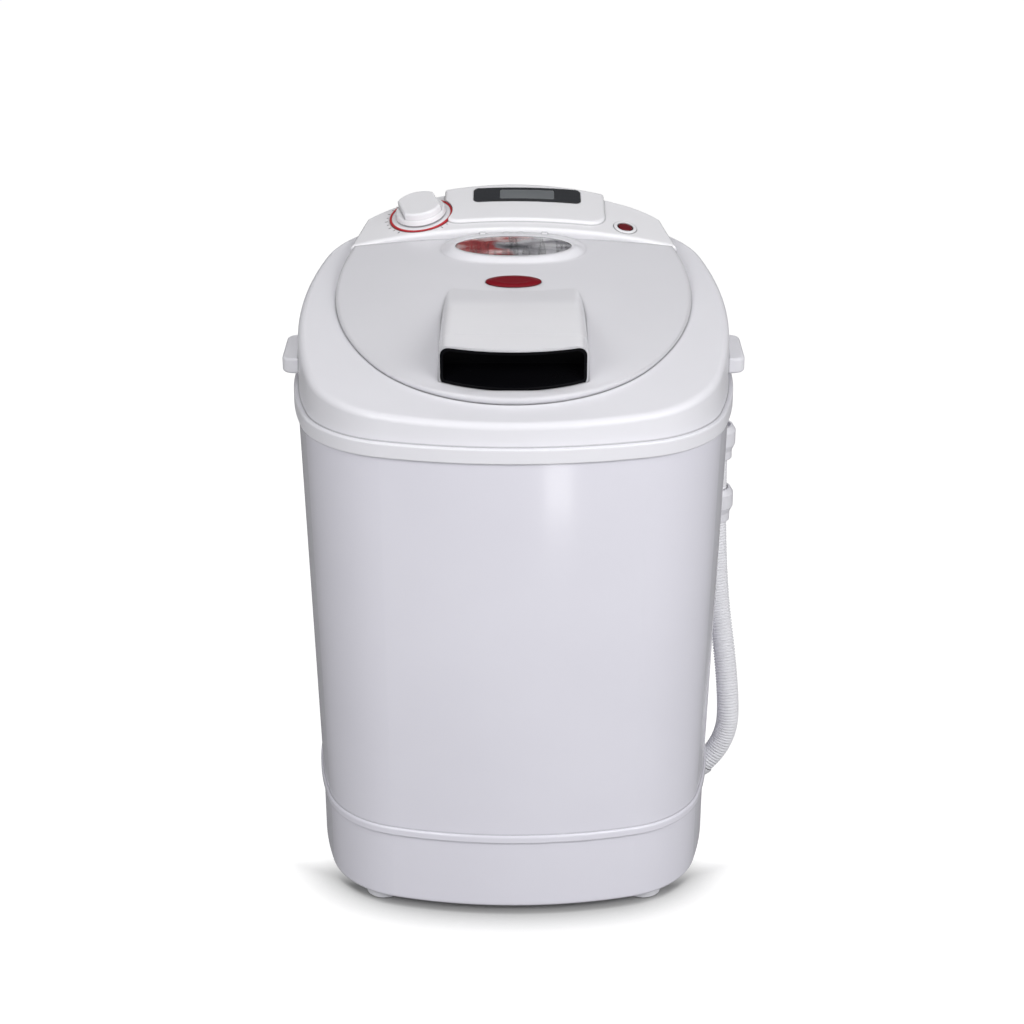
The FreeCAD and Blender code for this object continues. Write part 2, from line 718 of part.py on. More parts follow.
def lid_outline(inset):
    front_centre = V(0, LID_FRONT_V + LID_FRONT_R, 0)
    offset = LID_SIDE_R - LID_W / 2
    spread = LID_SIDE_R - LID_FRONT_R
    side_centre = V(-offset, front_centre.y + math.sqrt(spread ** 2 - offset ** 2), 0)
    side_r = LID_SIDE_R - inset
    rear_v = LID_REAR_V - inset
    join = side_centre + (front_centre - side_centre).normalize() * side_r
    corner = V(side_centre.x + math.sqrt(side_r ** 2 - (rear_v - side_centre.y) ** 2), rear_v, 0)
    middle = side_centre + ((join - side_centre) + (corner - side_centre)).normalize() * side_r
    flip = [V(-p.x, p.y, 0) for p in (corner, middle, join)]
    front = V(0, LID_FRONT_V + inset, 0)
    return Part.Wire([
        Part.LineSegment(flip[0], corner).toShape(),
        Part.Arc(corner, middle, join).toShape(),
        Part.Arc(join, front, flip[2]).toShape(),
        Part.Arc(flip[2], flip[1], flip[0]).toShape()])


def lid_prism(inset, low):
    return placed(DECK, raised(lid_outline(inset), low, BODY_D / 2))


def lid_crown(drop):
    return placed(LID_TOP, rod(LID_CROWN_R - drop, V(0, BODY_D, -LID_CROWN_R), V(0, -1, 0), 2 * BODY_D))


def lid_blank(inset, low):
    return lid_prism(inset, low).common(lid_crown(inset))


def grip_profile(inset):
    """Side view of the grip: a level top that sweeps up to meet the lid."""
    top = GRIP_TOP_Z - inset
    turn = math.radians(GRIP_SWEEP)
    front = V(0, GRIP_FRONT_Y, top)
    bend = front + V(0, GRIP_LEVEL_L, 0)
    middle, end = [bend + V(0, math.sin(a), 1 - math.cos(a)) * GRIP_SWEEP_R for a in (turn / 2, turn)]
    rear = end + V(0, 1, math.tan(turn)) * (GRIP_REAR_Y - end.y)
    low = [V(0, GRIP_REAR_Y, FLANGE_TOP), V(0, GRIP_FRONT_Y, FLANGE_TOP)]
    return Part.Wire([
        Part.LineSegment(front, bend).toShape(),
        Part.Arc(bend, middle, end).toShape(),
        Part.LineSegment(end, rear).toShape(),
        Part.makePolygon([rear] + low + [front])])


def grip_blank(inset):
    """Raised finger grip with rounded shoulders and a front face that follows the lid's edge."""
    half = GRIP_W / 2 - inset
    block = Part.Face(grip_profile(inset)).extrude(V(2 * half, 0, 0))
    block.translate(V(-half, 0, 0))
    shoulders = [e for e in block.Edges
                 if e.BoundBox.ZMin > GRIP_TOP_Z - inset - NEAR and e.BoundBox.XLength < NEAR]
    return block.makeFillet(GRIP_SHOULDER_R - inset, shoulders).common(grip_nose(inset))


def grip_nose(inset):
    """Upright cylinder whose front is the grip's front face."""
    return rod(GRIP_FRONT_R - inset, V(0, GRIP_FRONT_Y + GRIP_FRONT_R, TALL), DOWN, TALL)


def grip_outside():
    grip = grip_blank(0)
    lip = [e for e in grip.Edges
           if e.BoundBox.ZMin > GRIP_TOP_Z - NEAR and e.BoundBox.ZLength < NEAR
           and min(e.BoundBox.XLength, e.BoundBox.YLength) > NEAR]
    return grip.makeFillet(GRIP_LIP_R, lip)


def cup_blank(inset, depth):
    """Finger pocket that opens at the grip's front face."""
    grip_low = (DECK * V(0, LID_FRONT_V + LID_FRONT_R - GRIP_FRONT_R, CUP_LOW_W)).z
    high = GRIP_TOP_Z - CUP_RIM - inset
    low = grip_low + inset
    pocket = rounded_plate(GRIP_W - 2 * CUP_RIM - 2 * inset, high - low, CUP_CORNER_R - inset / 2, 0, depth)
    upright = FreeCAD.Rotation(V(1, 0, 0), 90)
    pocket = placed(FreeCAD.Placement(V(0, GRIP_FRONT_Y + depth, (low + high) / 2), upright), pocket)
    return pocket.common(deck_box(CUP_LOW_W + inset, BODY_D))


def window_frame():
    foot = placed(DECK, moved(oval(FRAME_FOOT_X, FRAME_FOOT_Y), V(0, FRAME_FOOT_V, FRAME_FOOT_LIFT)))
    rim_x = WINDOW_HALF_X + WINDOW_RIM
    rim_y = WINDOW_HALF_Y + WINDOW_RIM
    share = FRAME_WAIST
    spot = V(0, FRAME_FOOT_V, FRAME_FOOT_LIFT) * (1 - share) + V(0, WINDOW_V, WINDOW_LIFT) * share
    waist = oval(FRAME_FOOT_X * (1 - share) + rim_x * share, FRAME_FOOT_Y * (1 - share) + rim_y * share)
    waist = placed(FreeCAD.Placement(spot, FreeCAD.Rotation(V(1, 0, 0), share * WINDOW_TILT)), waist)
    mound = Part.makeLoft([foot, placed(DECK, waist), placed(WINDOW, oval(rim_x, rim_y))], True, False)
    return mound.common(lid_prism(LID_GAP, LID_GAP))


def window_recess():
    return placed(WINDOW, raised(oval(WINDOW_HALF_X, WINDOW_HALF_Y), -WINDOW_RECESS, WINDOW_RECESS))


def badge_spot():
    return LID_TOP * FreeCAD.Placement(V(0, -BADGE_SETBACK, 0), FreeCAD.Rotation())


def hinge_rod(radius, x0, x1):
    return placed(DECK, rod(radius, V(x0, HINGE_V, HINGE_W), V(1, 0, 0), x1 - x0))


def ear_spans(sign):
    """The two ears on one side of the lid, as spans of x."""
    inner = HINGE_X - KNUCKLE_L / 2 - SEAT_GAP - EAR_T
    outer = HINGE_X + KNUCKLE_L / 2 + SEAT_GAP
    spans = [(inner, inner + EAR_T), (outer, outer + EAR_T)]
    return [tuple(sorted((sign * a, sign * b))) for a, b in spans]


def lid_shell():
    blank = lid_blank(0, LID_GAP)
    flat = placed(DECK.inverse(), blank)
    rim = [k for k, e in enumerate(flat.Edges)
           if e.BoundBox.ZMin > 2 * LID_GAP and e.BoundBox.XLength > LID_EDGE_R]
    blank = blank.makeFillet(LID_EDGE_R, [blank.Edges[k] for k in rim])
    grip = grip_outside().common(lid_prism(LID_WALL, LID_GAP))
    knuckles = []
    notches = []
    for sign in (-1, 1):
        x0, x1 = sorted((sign * (HINGE_X - KNUCKLE_L / 2), sign * (HINGE_X + KNUCKLE_L / 2)))
        knuckles.append(hinge_rod(KNUCKLE_R, x0, x1))
        knuckles.append(placed(DECK, box(x0, x1, HINGE_V - 2 * KNUCKLE_R, HINGE_V,
                                         HINGE_W - 2 * KNUCKLE_R, HINGE_W)))
        for a, b in ear_spans(sign):
            notches.append(hinge_rod(KNUCKLE_R + 2 * SEAT_GAP, a - SEAT_GAP, b + SEAT_GAP))
            notches.append(placed(DECK, box(a - SEAT_GAP, b + SEAT_GAP, HINGE_V - KNUCKLE_R - 2 * SEAT_GAP,
                                            CONSOLE_FRONT_V, 0, 2 * HINGE_W)))
        notches.append(hinge_rod(PIN_R + RUN_GAP, x0, x1))
    hollow = lid_blank(LID_WALL, 0).fuse(grip_blank(LID_WALL).common(lid_prism(LID_WALL, 0)))
    shell = fused([blank, grip, window_frame()]).cut(hollow)
    shell = fused([shell] + knuckles)
    badge = placed(badge_spot(), raised(oval(BADGE_HALF_X, BADGE_HALF_Y), -BADGE_SINK, BADGE_HALF_X))
    return shell.cut(fused([cup_blank(0, CUP_DEPTH), window_recess(), badge] + notches))


def lid_handle_cup():
    outer = cup_blank(SEAT_GAP, CUP_DEPTH).common(grip_nose(SEAT_GAP))
    return outer.cut(cup_blank(CUP_WALL, CUP_DEPTH - CUP_WALL))


def lid_window_print():
    return placed(WINDOW, raised(oval(WINDOW_HALF_X - SEAT_GAP, WINDOW_HALF_Y - SEAT_GAP),
                                 -WINDOW_RECESS, PRINT_T - WINDOW_RECESS))


def lid_window_lens():
    half_x = WINDOW_HALF_X - SEAT_GAP
    half_y = WINDOW_HALF_Y - SEAT_GAP
    return placed(WINDOW, domed(half_x, half_y, PRINT_T - WINDOW_RECESS, 0, LENS_CROWN))


def lid_badge():
    half_x = BADGE_HALF_X - SEAT_GAP
    half_y = BADGE_HALF_Y - SEAT_GAP
    return placed(badge_spot(), domed(half_x, half_y, -BADGE_SINK, BADGE_EDGE, BADGE_CROWN))


def pin_rods(radius):
    """The two hinge pins, each from the outer face of one ear to that of the other."""
    rods = []
    for sign in (-1, 1):
        ends = [x for span in ear_spans(sign) for x in span]
        rods.append(hinge_rod(radius, min(ends), max(ends)))
    return rods


def hinge_pins():
    return Part.makeCompound(pin_rods(PIN_R))


# Console and its controls.

def crown_rod(extra):
    start = V(0, BODY_D, -CONSOLE_CROWN_R)
    return placed(CROWN, rod(CONSOLE_CROWN_R + extra, start, V(0, -1, 0), 2 * BODY_D))


def crown_spot(x, s):
    """Frame on the console's crown at x and s, with Z along the surface normal."""
    lean = math.asin(x / CONSOLE_CROWN_R)
    point = V(x, s, CONSOLE_CROWN_R * (math.cos(lean) - 1))
    return CROWN * FreeCAD.Placement(point, FreeCAD.Rotation(V(0, 1, 0), math.degrees(lean)))


def rear_slab(inset):
    return slab(inset, DECK_FRONT_Z, inset, TALL)


def console_blank(wall, low):
    far = BODY_D
    front = CONSOLE_FRONT_V + wall
    near_half = CONSOLE_HALF_W - wall
    far_half = near_half - CONSOLE_END_DRAW * (far - front)
    corners = [V(-near_half, front, 0), V(near_half, front, 0), V(far_half, far, 0), V(-far_half, far, 0)]
    plan = placed(DECK, raised(Part.makePolygon(corners + corners[:1]), low, BODY_D / 2))
    return plan.common(crown_rod(-wall)).common(rear_slab(CONSOLE_INSET + wall))


def pod_blank(wall, low):
    """Raised part of the console that carries the display."""
    half = POD_W / 2 - wall
    front = POD_FRONT_S + wall
    pod = box(POD_X - half, POD_X + half, front, BODY_D, low, BODY_D / 4)
    upright = [e for e in pod.Edges if e.BoundBox.YMax < front + NEAR and e.BoundBox.XLength < NEAR]
    pod = placed(CROWN, pod.makeFillet(POD_CORNER_R - wall, upright))
    return pod.common(crown_rod(POD_H - wall)).common(rear_slab(CONSOLE_INSET + wall))


def on_crown(edge):
    """True for an edge, in the crown's frame, that lies in the pod's top."""
    reach = [math.hypot(spot.x, spot.z + CONSOLE_CROWN_R) for spot in edge.discretize(3)]
    return max(abs(value - CONSOLE_CROWN_R - POD_H) for value in reach) < NEAR


def pod_outside():
    pod = pod_blank(0, -CONSOLE_FRONT_W / 2)
    flat = placed(CROWN.inverse(), pod)
    reach = POD_FRONT_S + 2 * POD_CORNER_R
    top = [k for k, e in enumerate(flat.Edges) if on_crown(e) and e.BoundBox.YMin < reach]
    return pod.makeFillet(POD_EDGE_R, [pod.Edges[k] for k in top])


def crown_layer(width, length, radius, x, s, low, high):
    """Layer of the pod's crowned top: a rounded rectangle between two heights."""
    plate = rounded_plate(width, length, radius, -BODY_D / 4, BODY_D / 4)
    plate = placed(CROWN * FreeCAD.Placement(V(x, s, 0), FreeCAD.Rotation()), plate)
    return plate.common(crown_rod(POD_H + high)).cut(crown_rod(POD_H + low))


def console_cover():
    blank = console_blank(0, -DECK_EDGE_R)
    flat = placed(DECK.inverse(), blank)
    top = [k for k, e in enumerate(flat.Edges) if e.BoundBox.ZMin > NEAR
           and max(e.BoundBox.XLength, e.BoundBox.YLength) > 2 * CONSOLE_EDGE_R]
    blank = blank.makeFillet(CONSOLE_EDGE_R, [blank.Edges[k] for k in top])
    hollow = fused([console_blank(CONSOLE_WALL, -2 * DECK_EDGE_R), pod_blank(CONSOLE_WALL, -CONSOLE_FRONT_W)])
    ears = []
    for sign in (-1, 1):
        for a, b in ear_spans(sign):
            ears.append(hinge_rod(KNUCKLE_R, a, b))
            ears.append(placed(DECK, box(a, b, HINGE_V, CONSOLE_FRONT_V + CONSOLE_WALL,
                                         HINGE_W - KNUCKLE_R, HINGE_W + KNUCKLE_R)).common(crown_rod(0)))
    cover = fused([fused([blank, pod_outside()]).cut(hollow)] + ears)
    dial = crown_spot(DIAL_X, DIAL_S)
    lamp = crown_spot(LAMP_X, LAMP_S)
    cuts = [
        placed(dial, rod(DIAL_R + SEAT_GAP, V(0, 0, -DIAL_SINK), UP, CUT_CLEAR)),
        placed(dial, rod(TIMER_BUSH_R + SEAT_GAP, V(0, 0, -CUT_CLEAR), UP, 2 * CUT_CLEAR)),
        placed(lamp, rod(LAMP_BEZEL_R + SEAT_GAP, V(0, 0, -DIAL_SINK), UP, CUT_CLEAR)),
        placed(lamp, rod(LAMP_LENS_R + SEAT_GAP, V(0, 0, -CUT_CLEAR), UP, 2 * CUT_CLEAR)),
        crown_layer(DISPLAY_W, DISPLAY_L, DISPLAY_CORNER_R, DISPLAY_X, DISPLAY_S,
                    DISPLAY_PROUD - DISPLAY_T, CUT_CLEAR)]
    cuts += pin_rods(PIN_R + PRESS_GAP)
    return cover.cut(collar_outside()).cut(fused(cuts))


def display_panel():
    panel = crown_layer(DISPLAY_W - 2 * SEAT_GAP, DISPLAY_L - 2 * SEAT_GAP, DISPLAY_CORNER_R - SEAT_GAP,
                        DISPLAY_X, DISPLAY_S, DISPLAY_PROUD - DISPLAY_T, DISPLAY_PROUD)
    return panel.cut(crown_layer(INSERT_W, INSERT_L, DISPLAY_CORNER_R / 2, DISPLAY_X, DISPLAY_S,
                                 DISPLAY_PROUD - INSERT_T, CUT_CLEAR))


def display_insert():
    return crown_layer(INSERT_W - SEAT_GAP, INSERT_L - SEAT_GAP, (DISPLAY_CORNER_R - SEAT_GAP) / 2,
                       DISPLAY_X, DISPLAY_S, DISPLAY_PROUD - INSERT_T, DISPLAY_PROUD)


def dial_plate():
    low = V(0, 0, -DIAL_SINK)
    plate = tube(DIAL_R - DIAL_RING_W, TIMER_BUSH_R + SEAT_GAP, low, UP, DIAL_SINK + DIAL_PROUD)
    return placed(crown_spot(DIAL_X, DIAL_S), plate)


def dial_ring():
    low = V(0, 0, -DIAL_SINK)
    ring = tube(DIAL_R, DIAL_R - DIAL_RING_W + PRESS_GAP, low, UP, DIAL_SINK + DIAL_PROUD + DIAL_RING_PROUD)
    return placed(crown_spot(DIAL_X, DIAL_S), ring)


def knob_bar(low):
    """Round grip of the knob with two flat sides, turned as it stands at rest."""
    bar = rod(KNOB_R - 2 * KNOB_CHAMFER, V(0, 0, KNOB_H), DOWN, KNOB_H - low)
    bar = bar.common(box(-KNOB_BAR_W / 2, KNOB_BAR_W / 2, -KNOB_R, KNOB_R, low, KNOB_H))
    bar = bar.makeFillet(KNOB_EDGE_R, [e for e in bar.Edges if e.BoundBox.ZMin > KNOB_H - NEAR])
    return placed(FreeCAD.Placement(V(0, 0, 0), FreeCAD.Rotation(UP, KNOB_TURN)), bar)


def timer_knob():
    low = DIAL_PROUD + KNOB_LIFT
    high = low + KNOB_SKIRT_H
    cut = KNOB_CHAMFER
    skirt = turned([(0, low), (KNOB_R - cut, low), (KNOB_R, low + cut), (KNOB_R - cut, high - cut),
                    (KNOB_R - 2 * cut, high), (0, high)])
    recess = rod(TIMER_NUT_R + LAP, V(0, 0, 0), UP, DIAL_PROUD + TIMER_NUT_T + LAP)
    bore = rod(TIMER_SHAFT_R + PRESS_GAP, V(0, 0, 0), UP, KNOB_H - KNOB_ROOF)
    return placed(crown_spot(DIAL_X, DIAL_S), fused([skirt, knob_bar(low + LAP)]).cut(recess).cut(bore))


def timer_shaft():
    low = TIMER_TOP - TIMER_SHAFT_DEPTH
    return placed(crown_spot(DIAL_X, DIAL_S), rod(TIMER_SHAFT_R, V(0, 0, low), UP, KNOB_H - KNOB_ROOF - low))


def timer_body():
    case = rod(TIMER_R, V(0, 0, TIMER_TOP - TIMER_H), UP, TIMER_H)
    bush = rod(TIMER_BUSH_R, V(0, 0, TIMER_TOP), UP, DIAL_PROUD + TIMER_NUT_T - TIMER_TOP)
    bore = rod(TIMER_SHAFT_R + RUN_GAP, V(0, 0, TIMER_TOP - TIMER_SHAFT_DEPTH - LAP), UP, 2 * CUT_CLEAR)
    return placed(crown_spot(DIAL_X, DIAL_S), fused([case, bush]).cut(bore))


def timer_nut():
    nut = tube(TIMER_NUT_R, TIMER_BUSH_R + PRESS_GAP, V(0, 0, DIAL_PROUD), UP, TIMER_NUT_T)
    return placed(crown_spot(DIAL_X, DIAL_S), nut)


def indicator_bezel():
    inner = LAMP_LENS_R + SEAT_GAP
    high = LAMP_BEZEL_PROUD
    ring = turned([(inner, -DIAL_SINK), (LAMP_BEZEL_R, -DIAL_SINK), (LAMP_BEZEL_R, high / 2),
                   (LAMP_BEZEL_R - LAMP_BEZEL_BEVEL, high), (inner + high / 2, high), (inner, high / 2)])
    return placed(crown_spot(LAMP_X, LAMP_S), ring)


def indicator_lens():
    flank = [(LAMP_LENS_R * x, LAMP_LENS_CROWN * z) for x, _, z in DOME]
    lens = turned([(0, -LAMP_LENS_DEPTH), (LAMP_LENS_R, -LAMP_LENS_DEPTH)] + flank + [(0, LAMP_LENS_CROWN)])
    return placed(crown_spot(LAMP_X, LAMP_S), lens)


def indicator_lamp():
    low = V(0, 0, -LAMP_LENS_DEPTH - LAMP_BODY_H)
    return placed(crown_spot(LAMP_X, LAMP_S), rod(LAMP_BODY_R, low, UP, LAMP_BODY_H))


# Tub and drive.

def on_shaft(shape):
    return moved(shape, V(0, TUB_Y, 0))


def wash_tub():
    hole_r = SEAL_R + SEAT_GAP
    outer_r = TUB_TOP_R + TUB_WALL
    rim_low = TUB_RIM_Z - TUB_RIM_T
    tub = turned([
        (hole_r, TUB_UNDERSIDE), (TUB_FOOT_R + TUB_WALL, TUB_UNDERSIDE), (outer_r, rim_low),
        (outer_r + TUB_RIM_W, rim_low), (outer_r + TUB_RIM_W, TUB_RIM_Z), (TUB_TOP_R, TUB_RIM_Z),
        (TUB_FOOT_R, TUB_FLOOR), (hole_r, TUB_FLOOR)])
    return on_shaft(tub).cut(rod(DRAIN_BORE_R, V(DRAIN_X, DRAIN_Y, TUB_UNDERSIDE), UP, TUB_FLOOR_T))


def tub_gasket():
    middle = TUB_TOP_R + TUB_WALL + TUB_RIM_W / 2
    return tube(middle + CLAMP_RING_T, middle - CLAMP_RING_T, V(0, TUB_Y, TUB_RIM_Z), UP, GASKET_T)


def pulsator():
    rim = PULSATOR_Z + PULSATOR_T
    crest = PULSATOR_Z + PULSATOR_HUB_H
    cut = PULSATOR_CHAMFER
    disc = turned([
        (0, PULSATOR_Z), (PULSATOR_R, PULSATOR_Z), (PULSATOR_R, rim - cut), (PULSATOR_R - cut, rim),
        (PULSATOR_HUB_R, rim + PULSATOR_RISE), (PULSATOR_HUB_R - cut, crest), (0, crest)])
    vane = box(PULSATOR_HUB_R / 2, PULSATOR_HUB_R + VANE_L, -VANE_W / 2, VANE_W / 2,
               PULSATOR_Z + LAP, PULSATOR_Z + VANE_H)
    vane = vane.makeFillet(
        VANE_EDGE_R, [e for e in vane.Edges if e.BoundBox.ZMin > PULSATOR_Z + VANE_H - NEAR])
    vanes = []
    for k in range(VANES):
        vanes.append(placed(FreeCAD.Placement(V(0, 0, 0), FreeCAD.Rotation(UP, 360.0 * k / VANES)), vane))
    bore = rod(SHAFT_R + PRESS_GAP, V(0, 0, PULSATOR_Z), UP, SHAFT_TOP - PULSATOR_Z)
    hole = rod(SCREW_R + PRESS_GAP, V(0, 0, PULSATOR_Z), UP, 2 * PULSATOR_HUB_H)
    return on_shaft(fused([disc] + vanes).cut(bore).cut(hole))


def pulsator_screw():
    piece = screw(SCREW_R, SHAFT_SCREW_L, SCREW_HEAD_R, SCREW_HEAD_H)
    return on_shaft(moved(piece, V(0, 0, PULSATOR_Z + PULSATOR_HUB_H)))


def drive_shaft():
    shaft = rod(SHAFT_R, V(0, 0, SHAFT_FOOT_Z), UP, SHAFT_TOP - SHAFT_FOOT_Z)
    deep = SHAFT_SCREW_L - PULSATOR_ROOF + LAP
    return on_shaft(shaft.cut(rod(SCREW_R + PRESS_GAP, V(0, 0, SHAFT_TOP), DOWN, deep)))


def bearing_foot():
    return TUB_UNDERSIDE - BEARING_H


def bearing_housing():
    foot = bearing_foot()
    flange_low = TUB_UNDERSIDE - BEARING_FLANGE_T
    case = turned([(BUSH_R, foot), (BEARING_R, foot), (BEARING_R, flange_low), (BEARING_FLANGE_R, flange_low),
                   (BEARING_FLANGE_R, TUB_UNDERSIDE), (BUSH_R, TUB_UNDERSIDE)])
    holes = [rod(SCREW_R + PRESS_GAP, spot, UP, BEARING_FLANGE_T) for spot in bearing_screw_spots()]
    return on_shaft(case).cut(fused(holes))


def bearing_screw_spots():
    reach = (BEARING_R + BEARING_FLANGE_R) / 2
    ways = ((1, 0), (0, 1), (-1, 0), (0, -1))
    return [V(x * reach, TUB_Y + y * reach, TUB_UNDERSIDE - BEARING_FLANGE_T) for x, y in ways]


def bearing_screws():
    piece = screw(SCREW_R, BEARING_FLANGE_T, SCREW_HEAD_R, SCREW_HEAD_H)
    piece = placed(FreeCAD.Placement(V(0, 0, 0), FreeCAD.Rotation(V(1, 0, 0), 180)), piece)
    return copies(piece, bearing_screw_spots())


def bearing_bushes():
    foot = bearing_foot()
    lower = tube(BUSH_R - PRESS_GAP, SHAFT_R + RUN_GAP, V(0, TUB_Y, foot), UP, BUSH_L)
    upper = tube(BUSH_R - PRESS_GAP, SHAFT_R + RUN_GAP, V(0, TUB_Y, TUB_UNDERSIDE - BUSH_L), UP, BUSH_L)
    return Part.makeCompound([lower, upper])


def shaft_seal():
    return tube(SEAL_R, SHAFT_R + RUN_GAP, V(0, TUB_Y, TUB_UNDERSIDE), UP, TUB_FLOOR_T + SEAL_PROUD)


def pulley(pitch_r, bore_r):
    """Flat-grooved pulley, lips on both sides of the belt."""
    groove_r = pitch_r - BELT_T / 2 - SEAT_GAP
    rim_r = pitch_r + BELT_T / 2 + PULLEY_LIP_H
    low = PULLEY_Z
    high = PULLEY_Z + PULLEY_T
    lip = PULLEY_LIP - LAP
    foot = PULLEY_LIP - SEAT_GAP
    return turned([(bore_r, low), (rim_r, low), (rim_r, low + lip), (groove_r, low + foot),
                   (groove_r, high - foot), (rim_r, high - lip), (rim_r, high), (bore_r, high)])


def drive_pulley():
    disc = pulley(DRIVE_PITCH_R, SHAFT_R + PRESS_GAP)
    holes = []
    for k in range(WEB_HOLES):
        angle = 2 * math.pi * k / WEB_HOLES
        spot = V(WEB_HOLE_PCR * math.cos(angle), WEB_HOLE_PCR * math.sin(angle), PULLEY_Z)
        holes.append(rod(WEB_HOLE_R, spot, UP, PULLEY_T))
    return on_shaft(disc.cut(fused(holes)))


def pulley_nut():
    return tube(NUT_R, SHAFT_R + PRESS_GAP, V(0, TUB_Y, PULLEY_Z - NUT_T), UP, NUT_T)


def motor_pulley():
    return moved(pulley(MOTOR_PITCH_R, MOTOR_SHAFT_R + PRESS_GAP), V(0, MOTOR_Y, 0))


def belt_wire(offset):
    big = DRIVE_PITCH_R + offset
    small = MOTOR_PITCH_R + offset
    lean = math.asin((big - small) / BELT_SPAN)
    right_big = V(big * math.cos(lean), TUB_Y + big * math.sin(lean), 0)
    right_small = V(small * math.cos(lean), MOTOR_Y + small * math.sin(lean), 0)
    left_big = V(-right_big.x, right_big.y, 0)
    left_small = V(-right_small.x, right_small.y, 0)
    return Part.Wire([
        Part.Arc(left_big, V(0, TUB_Y - big, 0), right_big).toShape(),
        Part.LineSegment(right_big, right_small).toShape(),
        Part.Arc(right_small, V(0, MOTOR_Y + small, 0), left_small).toShape(),
        Part.LineSegment(left_small, left_big).toShape()])


def drive_belt():
    middle = PULLEY_Z + PULLEY_T / 2
    low = middle - BELT_W / 2 + SEAT_GAP
    high = middle + BELT_W / 2 - SEAT_GAP
    return raised(belt_wire(BELT_T / 2), low, high).cut(raised(belt_wire(-BELT_T / 2), low, high))


def bolt_spots():
    reach = BOLT_PCR / math.sqrt(2)
    return [V(x, MOTOR_Y + y, 0) for x in (-reach, reach) for y in (-reach, reach)]


def motor_body():
    cut = MOTOR_CHAMFER
    case = turned([(0, MOTOR_Z), (MOTOR_R - cut, MOTOR_Z), (MOTOR_R, MOTOR_Z + cut),
                   (MOTOR_R, MOTOR_TOP - cut), (MOTOR_R - cut, MOTOR_TOP), (0, MOTOR_TOP)])
    bore = rod(MOTOR_SHAFT_R + RUN_GAP, V(0, MOTOR_Y, MOTOR_Z), UP, MOTOR_TOP - MOTOR_ROOF + LAP - MOTOR_Z)
    holes = [rod(BOLT_R + PRESS_GAP, spot + V(0, 0, MOTOR_TOP), DOWN, BOLT_L) for spot in bolt_spots()]
    return moved(case, V(0, MOTOR_Y, 0)).cut(fused([bore] + holes))


def motor_shaft():
    low = PULLEY_Z - MOTOR_SHAFT_END
    return rod(MOTOR_SHAFT_R, V(0, MOTOR_Y, low), UP, MOTOR_TOP - MOTOR_ROOF - low)


def motor_bracket():
    plate = rounded_plate(BRACKET_W, BRACKET_D, BRACKET_CORNER_R, MOTOR_TOP, MOTOR_TOP + BRACKET_T)
    corner_x = BRACKET_W / 2 - BRACKET_CORNER_R
    corner_y = BRACKET_D / 2 - BRACKET_CORNER_R
    spacers = [rod(SPACER_R, V(x, y, MOTOR_TOP), UP, BRACKET_T + BRACKET_SPACER)
               for x in (-corner_x, corner_x) for y in (-corner_y, 0)]
    plate = moved(fused([plate] + spacers), V(0, MOTOR_Y, 0))
    holes = [rod(BOLT_R + PRESS_GAP, spot + V(0, 0, MOTOR_TOP), UP, BRACKET_T) for spot in bolt_spots()]
    return plate.cut(fused(holes))


def motor_bolts():
    piece = moved(screw(BOLT_R, BOLT_L, BOLT_HEAD_R, BOLT_HEAD_H), V(0, 0, MOTOR_TOP + BRACKET_T))
    return copies(piece, bolt_spots())


def capacitor():
    cut = CAPACITOR_CHAMFER
    top = BASE_FLOOR + CAPACITOR_H
    can = turned([(0, BASE_FLOOR), (CAPACITOR_R, BASE_FLOOR), (CAPACITOR_R, top - cut),
                  (CAPACITOR_R - cut, top), (0, top)])
    return moved(can, V(CAPACITOR_X, CAPACITOR_Y, 0))


def capacitor_strap():
    low = BASE_FLOOR + STRAP_Z
    inner = CAPACITOR_R + PRESS_GAP
    ring = tube(inner + STRAP_T, inner, V(CAPACITOR_X, CAPACITOR_Y, low), UP, STRAP_H)
    x0 = CAPACITOR_X + inner + STRAP_T / 2
    half = STRAP_H / 2
    leg = box(x0, x0 + 3 * STRAP_T, CAPACITOR_Y - half, CAPACITOR_Y + half, BASE_FLOOR, low + STRAP_H)
    return fused([ring, leg]).cut(rod(inner, V(CAPACITOR_X, CAPACITOR_Y, BASE_FLOOR), UP, CAPACITOR_H))


# Drain, hose and clips.

def bent_line(points, radius):
    """Three points joined by two runs and one tangent arc."""
    start, corner, end = points
    back = (start - corner).normalize()
    ahead = (end - corner).normalize()
    half_turn = (math.pi - back.getAngle(ahead)) / 2
    reach = radius * math.tan(half_turn)
    middle = corner + (back + ahead).normalize() * (radius / math.cos(half_turn) - radius)
    first = corner + back * reach
    last = corner + ahead * reach
    return [Part.LineSegment(start, first).toShape(), Part.Arc(first, middle, last).toShape(),
            Part.LineSegment(last, end).toShape()]


def drain_pipe():
    points = [V(DRAIN_X, DRAIN_Y, TUB_UNDERSIDE), V(DRAIN_X, DRAIN_Y, DRAIN_Z),
              V(ELBOW_START_X, DRAIN_Y, DRAIN_Z)]
    line = Part.Wire(bent_line(points, DRAIN_BEND_R))
    return swept(line, points[0], DOWN, DRAIN_R).cut(swept(line, points[0], DOWN, DRAIN_BORE_R))


def outlet_elbow():
    x = V(1, 0, 0)
    start = V(ELBOW_START_X - SLEEVE_L, DRAIN_Y, DRAIN_Z)
    sleeve = tube(DRAIN_R + SLEEVE_T, DRAIN_R + PRESS_GAP, start, x, SLEEVE_L)
    collar = rod(DRAIN_R + SLEEVE_T, V(ELBOW_START_X, DRAIN_Y, DRAIN_Z), x, SLEEVE_L / 2)
    tubes = fused([sleeve, collar, elbow_solid(DRAIN_R + ELBOW_WALL)])
    return tubes.cut(elbow_solid(DRAIN_BORE_R))


def hose_route():
    _, start, way = elbow_line()
    return [start, start + way * HOSE_FIRST_RUN] + HOSE_POINTS


